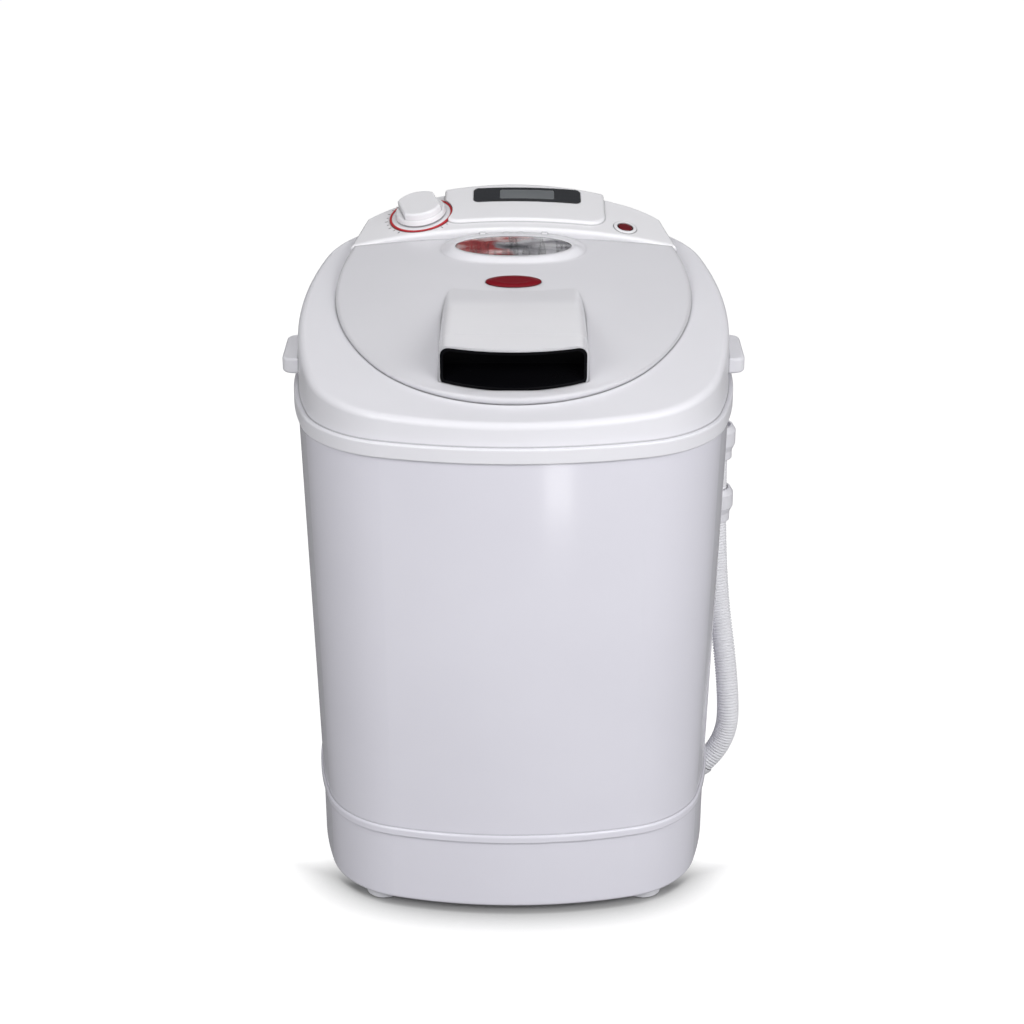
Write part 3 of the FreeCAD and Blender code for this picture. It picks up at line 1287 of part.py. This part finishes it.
def hose_line():
    """Runs of the hose joined by tangent arcs, each as large as its share of its runs allows."""
    route = hose_route()
    runs = [(after - before).Length / 2 for before, after in zip(route, route[1:])]
    runs[0] *= 2
    runs[-1] *= 2
    edges = []
    last = route[0]
    for k in range(1, len(route) - 1):
        corner = route[k]
        back = (route[k - 1] - corner).normalize()
        ahead = (route[k + 1] - corner).normalize()
        half_turn = (math.pi - back.getAngle(ahead)) / 2
        reach = HOSE_BEND_SHARE * min(runs[k - 1], runs[k])
        radius = reach / math.tan(half_turn)
        middle = corner + (back + ahead).normalize() * (radius / math.cos(half_turn) - radius)
        first = corner + back * reach
        edges.append(Part.LineSegment(last, first).toShape())
        last = corner + ahead * reach
        edges.append(Part.Arc(first, middle, last).toShape())
        print("hose bend radius", round(radius, 1))
    edges.append(Part.LineSegment(last, route[-1]).toShape())
    return edges


def hose_ring(edges, distance, radius):
    """Circle across the hose at a distance along its line, its X axis kept steady."""
    for edge in edges[:-1]:
        if distance <= edge.Length:
            break
        distance -= edge.Length
    else:
        edge = edges[-1]
    spot = edge.getParameterByLength(min(distance, edge.Length))
    turn = FreeCAD.Rotation(V(0, 1, 0), V(0, 0, 0), edge.tangentAt(spot), "ZXY")
    ring = Part.Circle(V(0, 0, 0), UP, radius).toShape()
    ring.Placement = FreeCAD.Placement(edge.valueAt(spot), turn)
    return Part.Wire([ring])


def drain_hose():
    edges = hose_line()
    length = sum(edge.Length for edge in edges)
    pitch = length / HOSE_RIBS
    rings = []
    for k in range(HOSE_RIBS):
        for share, radius in ((0.0, HOSE_ROOT_R), (0.22, HOSE_R), (0.56, HOSE_R), (0.78, HOSE_ROOT_R)):
            rings.append(hose_ring(edges, (k + share) * pitch, radius))
    rings.append(hose_ring(edges, length, HOSE_ROOT_R))
    skin = Part.makeLoft(rings, True, True)
    bore = swept(Part.Wire(edges), edges[0].valueAt(edges[0].FirstParameter),
                 edges[0].tangentAt(edges[0].FirstParameter), HOSE_BORE_R)
    hose = skin.cut(bore)
    section = math.pi * ((HOSE_R ** 2 + HOSE_ROOT_R ** 2) / 2 - HOSE_BORE_R ** 2)
    print("hose length", round(length, 1), "volume", round(hose.Volume), "of about", round(section * length))
    return hose


def hose_clip(low):
    axis = HOSE_POINTS[-1]
    bore_r = HOSE_R + CLIP_GAP
    ring = turned([(bore_r, 0), (CLIP_R, 0), (CLIP_R, CLIP_WAIST_Z), (CLIP_BULGE_R, CLIP_BULGE_Z),
                   (CLIP_BULGE_R, CLIP_SHOULDER_Z), (CLIP_R, CLIP_H), (bore_r, CLIP_H)])
    slot = box(-CLIP_SLOT_W / 2, CLIP_SLOT_W / 2, 0, 2 * CLIP_BULGE_R, 0, CLIP_H)
    plate = box(-2 * CLIP_BULGE_R, -bore_r, -CLIP_PLATE_W / 2, CLIP_PLATE_W / 2,
                CLIP_PLATE_LIFT, CLIP_H - CLIP_PLATE_LIFT)
    clip = fused([ring.cut(slot), plate.cut(rod(bore_r, V(0, 0, 0), UP, CLIP_H))])
    return moved(clip, V(axis.x, axis.y, low)).cut(SHELL_BLANK)


def hose_clip_lower():
    return hose_clip(CLIP_LOWER_Z)


def hose_clip_upper():
    return hose_clip(CLIP_UPPER_Z)


def wiring_harness():
    top = crown_spot(DIAL_X, DIAL_S) * V(0, 0, TIMER_TOP - TIMER_H - SEAT_GAP)
    bend = V(WIRE_X, WIRE_Y, WIRE_HIGH_Z)
    turn = V(WIRE_X, WIRE_Y, WIRE_LOW_Z)
    half = (bend + turn) * 0.5
    way = (V(0, MOTOR_Y, WIRE_LOW_Z) - turn).normalize()
    end = V(0, MOTOR_Y, WIRE_LOW_Z) - way * (MOTOR_R + SEAT_GAP)
    upper = bent_line([top, bend, half], WIRE_BEND_R)
    lower = bent_line([half, turn, end], WIRE_BEND_R)
    line = Part.Wire(upper + lower)
    return swept(line, top, bend - top, WIRE_R)


PIECES = [
    rubber_feet, base_housing, bottom_cover, bottom_screws, cord_gland,
    outer_shell, top_cover, mouth_ring, cover_screws, side_handle_left, side_handle_right,
    lid_shell, lid_handle_cup, lid_window_print, lid_window_lens, lid_badge, hinge_pins,
    console_cover, display_panel, display_insert, dial_plate, dial_ring,
    timer_knob, timer_shaft, timer_body, timer_nut, indicator_bezel, indicator_lens, indicator_lamp,
    wash_tub, tub_gasket, pulsator, pulsator_screw, drive_shaft, bearing_housing, bearing_screws,
    bearing_bushes, shaft_seal, drive_pulley, pulley_nut, motor_pulley, drive_belt,
    motor_body, motor_shaft, motor_bracket, motor_bolts, capacitor, capacitor_strap,
    drain_pipe, outlet_elbow, drain_hose, hose_clip_lower, hose_clip_upper, wiring_harness,
]

os.makedirs("parts", exist_ok=True)
for piece in PIECES:
    shape = piece()
    shape.exportStep("parts/" + piece.__name__ + ".step")
    print(piece.__name__, "solids", len(shape.Solids), "valid", shape.isValid())

for name, point in (("lid hinge", DECK * V(0, HINGE_V, HINGE_W)),
                    ("timer knob", crown_spot(DIAL_X, DIAL_S) * V(0, 0, 0)),
                    ("timer axis", crown_spot(DIAL_X, DIAL_S).Rotation * UP)):
    print(name, [round(value, 4) for value in point])
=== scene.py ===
import math

import bpy
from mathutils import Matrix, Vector


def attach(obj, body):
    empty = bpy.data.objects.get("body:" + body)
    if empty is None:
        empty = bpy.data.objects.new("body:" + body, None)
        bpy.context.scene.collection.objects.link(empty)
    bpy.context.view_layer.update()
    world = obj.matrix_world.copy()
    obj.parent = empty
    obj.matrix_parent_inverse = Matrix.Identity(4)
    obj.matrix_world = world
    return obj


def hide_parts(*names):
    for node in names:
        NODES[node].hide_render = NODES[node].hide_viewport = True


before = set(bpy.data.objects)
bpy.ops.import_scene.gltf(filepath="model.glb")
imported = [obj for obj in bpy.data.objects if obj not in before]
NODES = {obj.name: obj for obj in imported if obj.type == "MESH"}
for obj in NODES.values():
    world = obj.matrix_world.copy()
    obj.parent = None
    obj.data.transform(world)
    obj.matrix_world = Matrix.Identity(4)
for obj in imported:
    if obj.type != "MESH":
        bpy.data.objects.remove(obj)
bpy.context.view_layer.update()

# Camera, fitted to the photograph.
CAMERA_AT = Vector((0.0, -1.8396, 1.0967))
CAMERA_AIM = Vector((0.0, 0.0, 0.312))
SENSOR_MM = 36.0
LENS_MM = 78.6
SHIFT_X = -0.0015

# Drain hose, as in the part's source, in metres.
HOSE_R = 0.0104
HOSE_ROOT_R = 0.0092
HOSE_BORE_R = 0.0078
HOSE_RIBS = 116
HOSE_SIDES = 40
# One rib: places along its pitch, and how far it swells there from root to crest.
HOSE_RIB = ((0.0, 0.0), (0.14, 0.62), (0.28, 1.0), (0.5, 1.0), (0.64, 0.62), (0.78, 0.0))
ELBOW_BEND_X = 0.1721
ELBOW_BEND_R = 0.014
ELBOW_RISE = math.radians(45)
DRAIN_Y = 0.040
DRAIN_Z = 0.0305
HOSE_FIRST_RUN = 0.030
HOSE_POINTS = [(0.2042, 0.044, 0.112), (0.188, 0.088, 0.232), (0.188, 0.088, 0.341)]
ROUTE_STEPS = 24
ROUTE_ORDER = 3


def add_camera():
    data = bpy.data.cameras.new("camera")
    data.sensor_width = SENSOR_MM
    data.lens = LENS_MM
    data.shift_x = SHIFT_X
    camera = bpy.data.objects.new("camera", data)
    camera.location = CAMERA_AT
    camera.rotation_euler = (CAMERA_AIM - CAMERA_AT).to_track_quat("-Z", "Y").to_euler()
    bpy.context.scene.collection.objects.link(camera)
    bpy.context.scene.camera = camera


def hose_route():
    """Control points of the hose's middle line, from the elbow up to the upper clip."""
    start = Vector((ELBOW_BEND_X + ELBOW_BEND_R * math.sin(ELBOW_RISE), DRAIN_Y,
                    DRAIN_Z + ELBOW_BEND_R * (1 - math.cos(ELBOW_RISE))))
    way = Vector((math.cos(ELBOW_RISE), 0, math.sin(ELBOW_RISE)))
    return [start, start + way * HOSE_FIRST_RUN] + [Vector(p) for p in HOSE_POINTS]


def spline_points(points):
    """Points along a smooth curve that has these as its control points."""
    data = bpy.data.curves.new("route", "CURVE")
    data.dimensions = "3D"
    data.resolution_u = ROUTE_STEPS
    spline = data.splines.new("NURBS")
    spline.points.add(len(points) - 1)
    for point, spot in zip(spline.points, points):
        point.co = (*spot, 1.0)
    spline.order_u = ROUTE_ORDER
    spline.use_endpoint_u = True
    route = bpy.data.objects.new("route", data)
    bpy.context.scene.collection.objects.link(route)
    bpy.context.view_layer.update()
    mesh = bpy.data.meshes.new_from_object(route.evaluated_get(bpy.context.evaluated_depsgraph_get()))
    spots = [vertex.co.copy() for vertex in mesh.vertices]
    bpy.data.objects.remove(route)
    bpy.data.meshes.remove(mesh)
    return spots


def walk(spots):
    """Running length at each point of a line."""
    lengths = [0.0]
    for a, b in zip(spots, spots[1:]):
        lengths.append(lengths[-1] + (b - a).length)
    return lengths


def along(spots, lengths, distance):
    """Point and direction at a distance along a line."""
    k = 0
    while k < len(spots) - 2 and lengths[k + 1] < distance:
        k += 1
    step = spots[k + 1] - spots[k]
    share = (distance - lengths[k]) / step.length
    return spots[k] + step * share, step.normalized()


def mesh_piece(name, vertices, faces, smooth=True):
    mesh = bpy.data.meshes.new(name)
    mesh.from_pydata(vertices, [], faces)
    mesh.update()
    if smooth:
        mesh.polygons.foreach_set("use_smooth", [True] * len(mesh.polygons))
    piece = bpy.data.objects.new(name, mesh)
    bpy.context.scene.collection.objects.link(piece)
    return piece


def ring_faces(rings, sides):
    """Quads between neighbouring rings of a closed tube, the last ring joined to the first."""
    faces = []
    for k in range(rings):
        low = k * sides
        high = ((k + 1) % rings) * sides
        for j in range(sides):
            n = (j + 1) % sides
            faces.append((low + j, low + n, high + n, high + j))
    return faces


def add_hose():
    """Ribbed drain hose with an open bore, in place of the frame's hose."""
    spots = spline_points(hose_route())
    lengths = walk(spots)
    total = lengths[-1]
    pitch = total / HOSE_RIBS
    stations = []
    for k in range(HOSE_RIBS):
        for share, swell in HOSE_RIB:
            stations.append(((k + share) * pitch, HOSE_ROOT_R + swell * (HOSE_R - HOSE_ROOT_R)))
    stations.append((total, HOSE_ROOT_R))
    bore = [(total * k / HOSE_RIBS, HOSE_BORE_R) for k in range(HOSE_RIBS, -1, -1)]
    vertices = []
    for distance, radius in stations + bore:
        spot, way = along(spots, lengths, distance)
        side = (Vector((0, 1, 0)) - way * way.y).normalized()
        across = way.cross(side)
        for j in range(HOSE_SIDES):
            angle = 2 * math.pi * j / HOSE_SIDES
            vertices.append(spot + (side * math.cos(angle) + across * math.sin(angle)) * radius)
    hose = mesh_piece("drain_hose_ribbed", vertices, ring_faces(len(stations) + len(bore), HOSE_SIDES))
    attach(hose, "chassis")
    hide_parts("drain_hose")
    return hose


# Plain scale marks around the dial, printed on the console's crown.
CROWN_AT = Vector((0.0, 0.10493, 0.54389))
CROWN_TILT = math.radians(14.22)
CROWN_R = 0.6
DIAL_X = -0.084
DIAL_S = 0.033
MARK_R = 0.0305
MARK_W = 0.0007
MARK_LENGTHS = (0.0026, 0.0016)
MARK_LIFT = 0.0001
MARK_STEP = 12
MARK_FIRST = 136
MARKS = 9


def on_crown(x, s):
    """Point just above the console's crown, x across it and s rearwards from its front edge."""
    rise = math.sqrt(CROWN_R ** 2 - x ** 2) - CROWN_R + MARK_LIFT
    return CROWN_AT + Vector((x, s * math.cos(CROWN_TILT) - rise * math.sin(CROWN_TILT),
                              s * math.sin(CROWN_TILT) + rise * math.cos(CROWN_TILT)))


def add_marks():
    """Strokes of two lengths in turn, on both sides of the dial."""
    vertices = []
    faces = []
    for side in (1, -1):
        for k in range(MARKS):
            angle = math.radians(MARK_FIRST + k * MARK_STEP)
            out = Vector((side * math.cos(angle), math.sin(angle)))
            across = Vector((-out.y, out.x)) * MARK_W / 2
            near = Vector((DIAL_X, DIAL_S)) + out * MARK_R
            far = near + out * MARK_LENGTHS[k % 2]
            first = len(vertices)
            corners = (near - across, far - across, far + across, near + across)
            vertices += [on_crown(corner.x, corner.y) for corner in corners[::side]]
            faces.append(tuple(range(first, first + 4)))
    marks = mesh_piece("dial_marks", vertices, faces, smooth=False)
    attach(marks, "chassis")
    return marks


# Materials: lengths and depths in metres, texture scales per metre.
EDGE_SOFTNESS = 0.0012
EDGE_SAMPLES = 4
LID_SOFTNESS = 0.006
# Reach and samples of the painted shade that darkens colours in narrow gaps and creases.
SEAM_SHADE_REACH = 0.0017
SEAM_SHADE_SAMPLES = 8
DRIFT_SCALE = 7.0
POLISH_SCALE = 24.0
GRAIN_DEPTH = 0.00002
GRAIN_SCALE = 160.0
TUB_DEPTH = 0.0001
TUB_SCALE = 500.0
RUBBER_DEPTH = 0.0002
RUBBER_SCALE = 600.0
COAT_ROUGHNESS = 0.08
PLASTIC_SPECULAR = 0.5
TOOL_MARK_SCALE = 400.0
TOOL_MARK_DEPTH = 0.00005
STROKE_STRETCH = (14, 70, 70)
STROKE_SCALE = 1.6
CLOUD_STRETCH = (20, 45, 45)
CLOUD_SCALE = 1.3
PRINT_DETAIL = 4.0
PRINT_FADE = 4.0
SMEAR_SCALE = 60.0
LENS_IOR = 1.35


def new_material(name):
    material = bpy.data.materials.new(name)
    material.use_nodes = True
    nodes = material.node_tree.nodes
    return material, nodes, material.node_tree.links, nodes["Principled BSDF"]


def position(nodes, links, scale):
    """Texture coordinates in metres, scaled."""
    coordinates = nodes.new("ShaderNodeTexCoord")
    mapping = nodes.new("ShaderNodeMapping")
    mapping.inputs["Scale"].default_value = scale
    links.new(coordinates.outputs["Object"], mapping.inputs["Vector"])
    return mapping.outputs["Vector"]


def noise(nodes, links, vector, scale, detail=3.0):
    texture = nodes.new("ShaderNodeTexNoise")
    texture.inputs["Scale"].default_value = scale
    texture.inputs["Detail"].default_value = detail
    links.new(vector, texture.inputs["Vector"])
    return texture.outputs["Fac"]


def ramp(nodes, links, factor, stops):
    """Colour ramp over (position, colour) stops."""
    blend = nodes.new("ShaderNodeValToRGB")
    elements = blend.color_ramp.elements
    while len(elements) < len(stops):
        elements.new(1.0)
    for element, (place, colour) in zip(elements, stops):
        element.position = place
        element.color = (*colour, 1.0)
    links.new(factor, blend.inputs["Fac"])
    return blend.outputs["Color"]


def mixed(nodes, links, factor, first, second):
    """Blend of two colours by a factor."""
    blend = nodes.new("ShaderNodeMix")
    blend.data_type = "RGBA"
    sockets = {socket.identifier: socket for socket in blend.inputs}
    links.new(factor, sockets["Factor_Float"])
    links.new(first, sockets["A_Color"])
    links.new(second, sockets["B_Color"])
    return next(socket for socket in blend.outputs if socket.identifier == "Result_Color")


def spread(nodes, links, factor, low, high, start=0.0, end=1.0):
    """Maps a factor, from start to end, onto a range."""
    mapped = nodes.new("ShaderNodeMapRange")
    mapped.inputs["From Min"].default_value = start
    mapped.inputs["From Max"].default_value = end
    mapped.inputs["To Min"].default_value = low
    mapped.inputs["To Max"].default_value = high
    links.new(factor, mapped.inputs["Value"])
    return mapped.outputs["Result"]


def bump(nodes, links, bsdf, height, distance, softness=EDGE_SOFTNESS):
    """Fine relief on a surface whose edges are softly rounded."""
    edge = nodes.new("ShaderNodeBevel")
    edge.samples = EDGE_SAMPLES
    edge.inputs["Radius"].default_value = softness
    node = nodes.new("ShaderNodeBump")
    node.inputs["Distance"].default_value = distance
    links.new(height, node.inputs["Height"])
    links.new(edge.outputs["Normal"], node.inputs["Normal"])
    links.new(node.outputs["Normal"], bsdf.inputs["Normal"])


def painted_seam_shade(nodes, links, colour):
    """Painted shade: darkens a colour by ambient occlusion in the narrow gaps and creases between pieces.
    """
    painted_shade_ao = nodes.new("ShaderNodeAmbientOcclusion")
    painted_shade_ao.samples = SEAM_SHADE_SAMPLES
    painted_shade_ao.inputs["Distance"].default_value = SEAM_SHADE_REACH
    links.new(colour, painted_shade_ao.inputs["Color"])
    return painted_shade_ao.outputs["Color"]


def moulded(name, light, dark, roughness, grain=GRAIN_DEPTH, grain_scale=GRAIN_SCALE, coat=0.0,
            softness=EDGE_SOFTNESS, specular=PLASTIC_SPECULAR):
    """Moulded plastic: slow colour drift, painted shade in the narrow gaps between pieces, uneven polish
    and a slight waviness of the skin.
    """
    material, nodes, links, bsdf = new_material(name)
    spot = position(nodes, links, (1, 1, 1))
    drift = noise(nodes, links, spot, DRIFT_SCALE)
    colour = ramp(nodes, links, drift, [(0.3, dark), (0.7, light)])
    # Painted shade: ambient occlusion darkens the base colour in narrow gaps and creases between pieces.
    links.new(painted_seam_shade(nodes, links, colour), bsdf.inputs["Base Color"])
    polish = noise(nodes, links, spot, POLISH_SCALE)
    links.new(spread(nodes, links, polish, roughness[0], roughness[1]), bsdf.inputs["Roughness"])
    bump(nodes, links, bsdf, noise(nodes, links, spot, grain_scale, 2.0), grain, softness)
    bsdf.inputs["Specular IOR Level"].default_value = specular
    bsdf.inputs["Coat Weight"].default_value = coat
    bsdf.inputs["Coat Roughness"].default_value = COAT_ROUGHNESS
    return material


def metal(name, light, dark, roughness, stretch=(1, 1, 1)):
    """Machined or plated metal with fine tool marks."""
    material, nodes, links, bsdf = new_material(name)
    spot = position(nodes, links, stretch)
    marks = noise(nodes, links, spot, TOOL_MARK_SCALE, 4.0)
    links.new(ramp(nodes, links, marks, [(0.3, dark), (0.7, light)]), bsdf.inputs["Base Color"])
    links.new(spread(nodes, links, marks, roughness[0], roughness[1]), bsdf.inputs["Roughness"])
    bump(nodes, links, bsdf, marks, TOOL_MARK_DEPTH)
    bsdf.inputs["Metallic"].default_value = 1.0
    return material


def window_print():
    """Backing of the lid's oval window: red clouds on the left that give way to grey strokes."""
    material, nodes, links, bsdf = new_material("window_print")
    strokes = noise(nodes, links, position(nodes, links, STROKE_STRETCH), STROKE_SCALE, PRINT_DETAIL)
    greys = ramp(nodes, links, strokes, [(0.34, (0.12, 0.12, 0.13)), (0.47, (0.42, 0.41, 0.45)),
                                         (0.6, (0.86, 0.85, 0.88))])
    clouds = noise(nodes, links, position(nodes, links, CLOUD_STRETCH), CLOUD_SCALE, PRINT_DETAIL)
    reds = ramp(nodes, links, strokes, [(0.38, (0.34, 0.02, 0.03)), (0.52, (0.60, 0.12, 0.12)),
                                        (0.62, (0.88, 0.66, 0.66))])
    across = nodes.new("ShaderNodeSeparateXYZ")
    links.new(position(nodes, links, (PRINT_FADE, 1, 1)), across.inputs["Vector"])
    share = nodes.new("ShaderNodeMath")
    share.operation = "SUBTRACT"
    links.new(clouds, share.inputs[0])
    links.new(across.outputs["X"], share.inputs[1])
    cover = ramp(nodes, links, share.outputs[0], [(0.45, (0, 0, 0)), (0.55, (1, 1, 1))])
    links.new(mixed(nodes, links, cover, greys, reds), bsdf.inputs["Base Color"])
    links.new(spread(nodes, links, strokes, 0.3, 0.45), bsdf.inputs["Roughness"])
    return material


def clear_lens():
    """Clear plastic of the lid's oval window, faintly smeared."""
    material, nodes, links, bsdf = new_material("clear_lens")
    spot = position(nodes, links, (1, 1, 1))
    smear = noise(nodes, links, spot, SMEAR_SCALE)
    links.new(spread(nodes, links, smear, 0.02, 0.06), bsdf.inputs["Roughness"])
    links.new(ramp(nodes, links, smear, [(0.3, (0.97, 0.97, 0.98)), (0.7, (1.0, 1.0, 1.0))]),
              bsdf.inputs["Base Color"])
    bsdf.inputs["Transmission Weight"].default_value = 1.0
    bsdf.inputs["IOR"].default_value = LENS_IOR
    return material


def add_materials():
    white = moulded("white_gloss", (0.825, 0.82, 0.865), (0.795, 0.79, 0.835), (0.34, 0.44), coat=0.04)
    console = moulded("white_console", (0.89, 0.885, 0.915), (0.865, 0.86, 0.89), (0.2, 0.3), coat=0.2)
    lid = moulded("white_lid", (0.765, 0.76, 0.80), (0.735, 0.73, 0.77), (0.2, 0.3), coat=0.2,
                  softness=LID_SOFTNESS)
    shell = moulded("white_shell", (0.78, 0.77, 0.845), (0.755, 0.745, 0.82), (0.16, 0.24), coat=0.2)
    tub = moulded("tub_plastic", (0.80, 0.82, 0.85), (0.74, 0.76, 0.80), (0.4, 0.55),
                  TUB_DEPTH, TUB_SCALE)
    zinc = metal("zinc_steel", (0.72, 0.72, 0.70), (0.52, 0.52, 0.52), (0.25, 0.4))
    steel = metal("steel", (0.66, 0.66, 0.67), (0.48, 0.48, 0.5), (0.2, 0.32), (4, 1, 1))
    alloy = metal("alloy", (0.74, 0.75, 0.76), (0.55, 0.56, 0.58), (0.38, 0.55))
    rubber = moulded("seal_rubber", (0.06, 0.06, 0.065), (0.035, 0.035, 0.04), (0.55, 0.75),
                     RUBBER_DEPTH, RUBBER_SCALE)
    feet = moulded("foot_rubber", (0.76, 0.76, 0.80), (0.68, 0.68, 0.72), (0.5, 0.65),
                   RUBBER_DEPTH, RUBBER_SCALE)
    black = moulded("black_gloss", (0.004, 0.004, 0.005), (0.002, 0.002, 0.003), (0.22, 0.3), specular=0.06)
    red = moulded("red_badge", (0.21, 0.003, 0.011), (0.14, 0.002, 0.007), (0.34, 0.44), specular=0.25)
    panel = moulded("dark_panel", (0.030, 0.032, 0.038), (0.018, 0.020, 0.024), (0.18, 0.3))
    insert = moulded("grey_insert", (0.20, 0.21, 0.22), (0.12, 0.13, 0.14), (0.25, 0.4))
    ring = moulded("red_ring", (0.62, 0.02, 0.03), (0.50, 0.014, 0.022), (0.3, 0.42))
    signal = moulded("red_lens", (0.16, 0.004, 0.010), (0.08, 0.002, 0.006), (0.06, 0.12))
    paint = moulded("motor_paint", (0.10, 0.11, 0.12), (0.06, 0.065, 0.07), (0.35, 0.5))
    bronze = metal("bronze", (0.66, 0.46, 0.24), (0.46, 0.30, 0.15), (0.3, 0.45))
    hose_grey = moulded("hose_grey", (0.86, 0.86, 0.89), (0.80, 0.80, 0.84), (0.35, 0.5))
    finishes = {
        white: ["top_cover", "side_handle_left", "side_handle_right", "hose_clip_lower",
                "hose_clip_upper"],
        console: ["console_cover", "timer_knob", "dial_plate", "indicator_bezel"],
        lid: ["lid_shell"],
        shell: ["outer_shell", "base_housing", "cord_gland"],
        tub: ["wash_tub", "mouth_ring", "bottom_cover", "pulsator", "drive_pulley", "drain_pipe",
              "timer_body", "indicator_lamp"],
        zinc: ["bottom_screws", "cover_screws", "timer_nut", "bearing_screws", "pulley_nut",
               "motor_bracket", "motor_bolts", "capacitor_strap"],
        steel: ["hinge_pins", "timer_shaft", "drive_shaft", "motor_shaft", "pulsator_screw"],
        alloy: ["bearing_housing", "motor_pulley", "capacitor"],
        rubber: ["tub_gasket", "shaft_seal", "drive_belt", "wiring_harness"],
        feet: ["rubber_feet"],
        black: ["lid_handle_cup"],
        red: ["lid_badge"],
        panel: ["display_panel"],
        insert: ["display_insert"],
        ring: ["dial_ring"],
        signal: ["indicator_lens"],
        paint: ["motor_body"],
        bronze: ["bearing_bushes"],
        hose_grey: ["outlet_elbow"],
        window_print(): ["lid_window_print"],
        clear_lens(): ["lid_window_lens"],
    }
    for material, names in finishes.items():
        for name in names:
            NODES[name].data.materials.clear()
            NODES[name].data.materials.append(material)


# Stage and light: the floor, the painted shadow at the foot of the object's front, and the world.
FLOOR_HALF = 12.0
FLOOR_GREY = 0.42
# Painted shadow under the object's front: occlusion samples and reach, the occlusion at which the floor's
# glow goes to nothing, and the floor depths over which it fades out towards the sides and rear.
SHADOW_PAINT_SAMPLES = 16
SHADOW_PAINT_REACH = 0.06
SHADOW_PAINT_DEPTH = 0.35
SHADOW_PAINT_FADE = (-0.15, -0.075)
OPEN_GLOW = 0.9
WORLD_FRONT = 0.3
WORLD_REAR = 0.18
WORLD_FADE = (-0.15, 0.25)


def floor_material():
    """Matte floor, white to the camera but for the object's shadow and a painted shadow under its front,
    where ambient occlusion dims the floor's glow.
    """
    material, nodes, links, bsdf = new_material("floor")
    nodes.remove(bsdf)
    path = nodes.new("ShaderNodeLightPath")
    # Painted shadow: ambient occlusion near the object dims the floor's glow for camera rays, only towards
    # the object's front.
    painted_shade_ao = nodes.new("ShaderNodeAmbientOcclusion")
    painted_shade_ao.samples = SHADOW_PAINT_SAMPLES
    painted_shade_ao.inputs["Distance"].default_value = SHADOW_PAINT_REACH
    place = nodes.new("ShaderNodeSeparateXYZ")
    links.new(position(nodes, links, (1, 1, 1)), place.inputs["Vector"])
    sides = spread(nodes, links, place.outputs["Y"], 0.0, 1.0, *SHADOW_PAINT_FADE)
    open_share = nodes.new("ShaderNodeMath")
    open_share.operation = "MAXIMUM"
    links.new(painted_shade_ao.outputs["AO"], open_share.inputs[0])
    links.new(sides, open_share.inputs[1])
    shade = spread(nodes, links, open_share.outputs[0], 0.0, OPEN_GLOW, SHADOW_PAINT_DEPTH)
    strength = nodes.new("ShaderNodeMath")
    strength.operation = "MULTIPLY"
    links.new(path.outputs["Is Camera Ray"], strength.inputs[0])
    links.new(shade, strength.inputs[1])
    glow = nodes.new("ShaderNodeEmission")
    links.new(strength.outputs[0], glow.inputs["Strength"])
    matte = nodes.new("ShaderNodeBsdfDiffuse")
    matte.inputs["Color"].default_value = (FLOOR_GREY, FLOOR_GREY, FLOOR_GREY, 1)
    both = nodes.new("ShaderNodeAddShader")
    links.new(glow.outputs[0], both.inputs[0])
    links.new(matte.outputs[0], both.inputs[1])
    links.new(both.outputs[0], nodes["Material Output"].inputs["Surface"])
    return material


def add_floor():
    corners = [(x * FLOOR_HALF, y * FLOOR_HALF, 0) for x, y in ((-1, -1), (1, -1), (1, 1), (-1, 1))]
    floor = mesh_piece("floor", corners, [(0, 1, 2, 3)], smooth=False)
    floor.data.materials.append(floor_material())


def add_world():
    """Soft light from the front that fades towards the rear; the camera itself sees white."""
    world = bpy.data.worlds.new("world")
    world.use_nodes = True
    nodes = world.node_tree.nodes
    links = world.node_tree.links
    coordinates = nodes.new("ShaderNodeTexCoord")
    split = nodes.new("ShaderNodeSeparateXYZ")
    links.new(coordinates.outputs["Generated"], split.inputs["Vector"])
    fade = spread(nodes, links, split.outputs["Y"], WORLD_FRONT, WORLD_REAR, *WORLD_FADE)
    path = nodes.new("ShaderNodeLightPath")
    strength = nodes.new("ShaderNodeMapRange")
    strength.inputs["To Max"].default_value = 1.0
    links.new(fade, strength.inputs["To Min"])
    links.new(path.outputs["Is Camera Ray"], strength.inputs["Value"])
    links.new(strength.outputs["Result"], nodes["Background"].inputs["Strength"])
    nodes["Background"].inputs["Color"].default_value = (1, 1, 1, 1)
    bpy.context.scene.world = world


# Lamps: place and aim in metres, width and height, power in watts.
LAMPS = {
    "key_left": ((-1.14, -1.63, 1.45), (0, 0, 0.3), (1.2, 0.9), 18),
    "key_right": ((1.14, -1.63, 1.45), (0, 0, 0.3), (1.2, 0.9), 21),
    "side_left": ((-1.96, -0.91, 1.09), (0, 0, 0.3), (1.0, 0.9), 1.2),
    "side_right": ((1.96, -0.91, 1.09), (0, 0, 0.3), (1.0, 0.9), 8.2),
    "top": ((0.0, -0.2, 1.28), (0, 0, 0.5), (0.6, 0.3), 1.1),
    "back": ((0.0, 1.9, 1.1), (0, 0, 0.5), (1.4, 0.6), 2.7),
    "glint": ((0.2, -0.95, 0.03), (0.04, -0.18, 0.36), (0.12, 0.09), 0.2),
}


def add_lamp(name, place, aim, size, power):
    data = bpy.data.lights.new(name, "AREA")
    data.shape = "RECTANGLE"
    data.size = size[0]
    data.size_y = size[1]
    data.energy = power
    lamp = bpy.data.objects.new(name, data)
    lamp.location = place
    lamp.rotation_euler = (Vector(aim) - Vector(place)).to_track_quat("-Z", "Y").to_euler()
    bpy.context.scene.collection.objects.link(lamp)


add_camera()
hose = add_hose()
add_materials()
hose.data.materials.append(bpy.data.materials["hose_grey"])
marks = add_marks()
marks.data.materials.append(moulded("dark_print", (0.16, 0.16, 0.18), (0.10, 0.10, 0.12), (0.4, 0.55)))
add_floor()
add_world()
for name, (place, aim, size, power) in LAMPS.items():
    add_lamp(name, place, aim, size, power)

scene = bpy.context.scene
scene.view_settings.view_transform = "Standard"
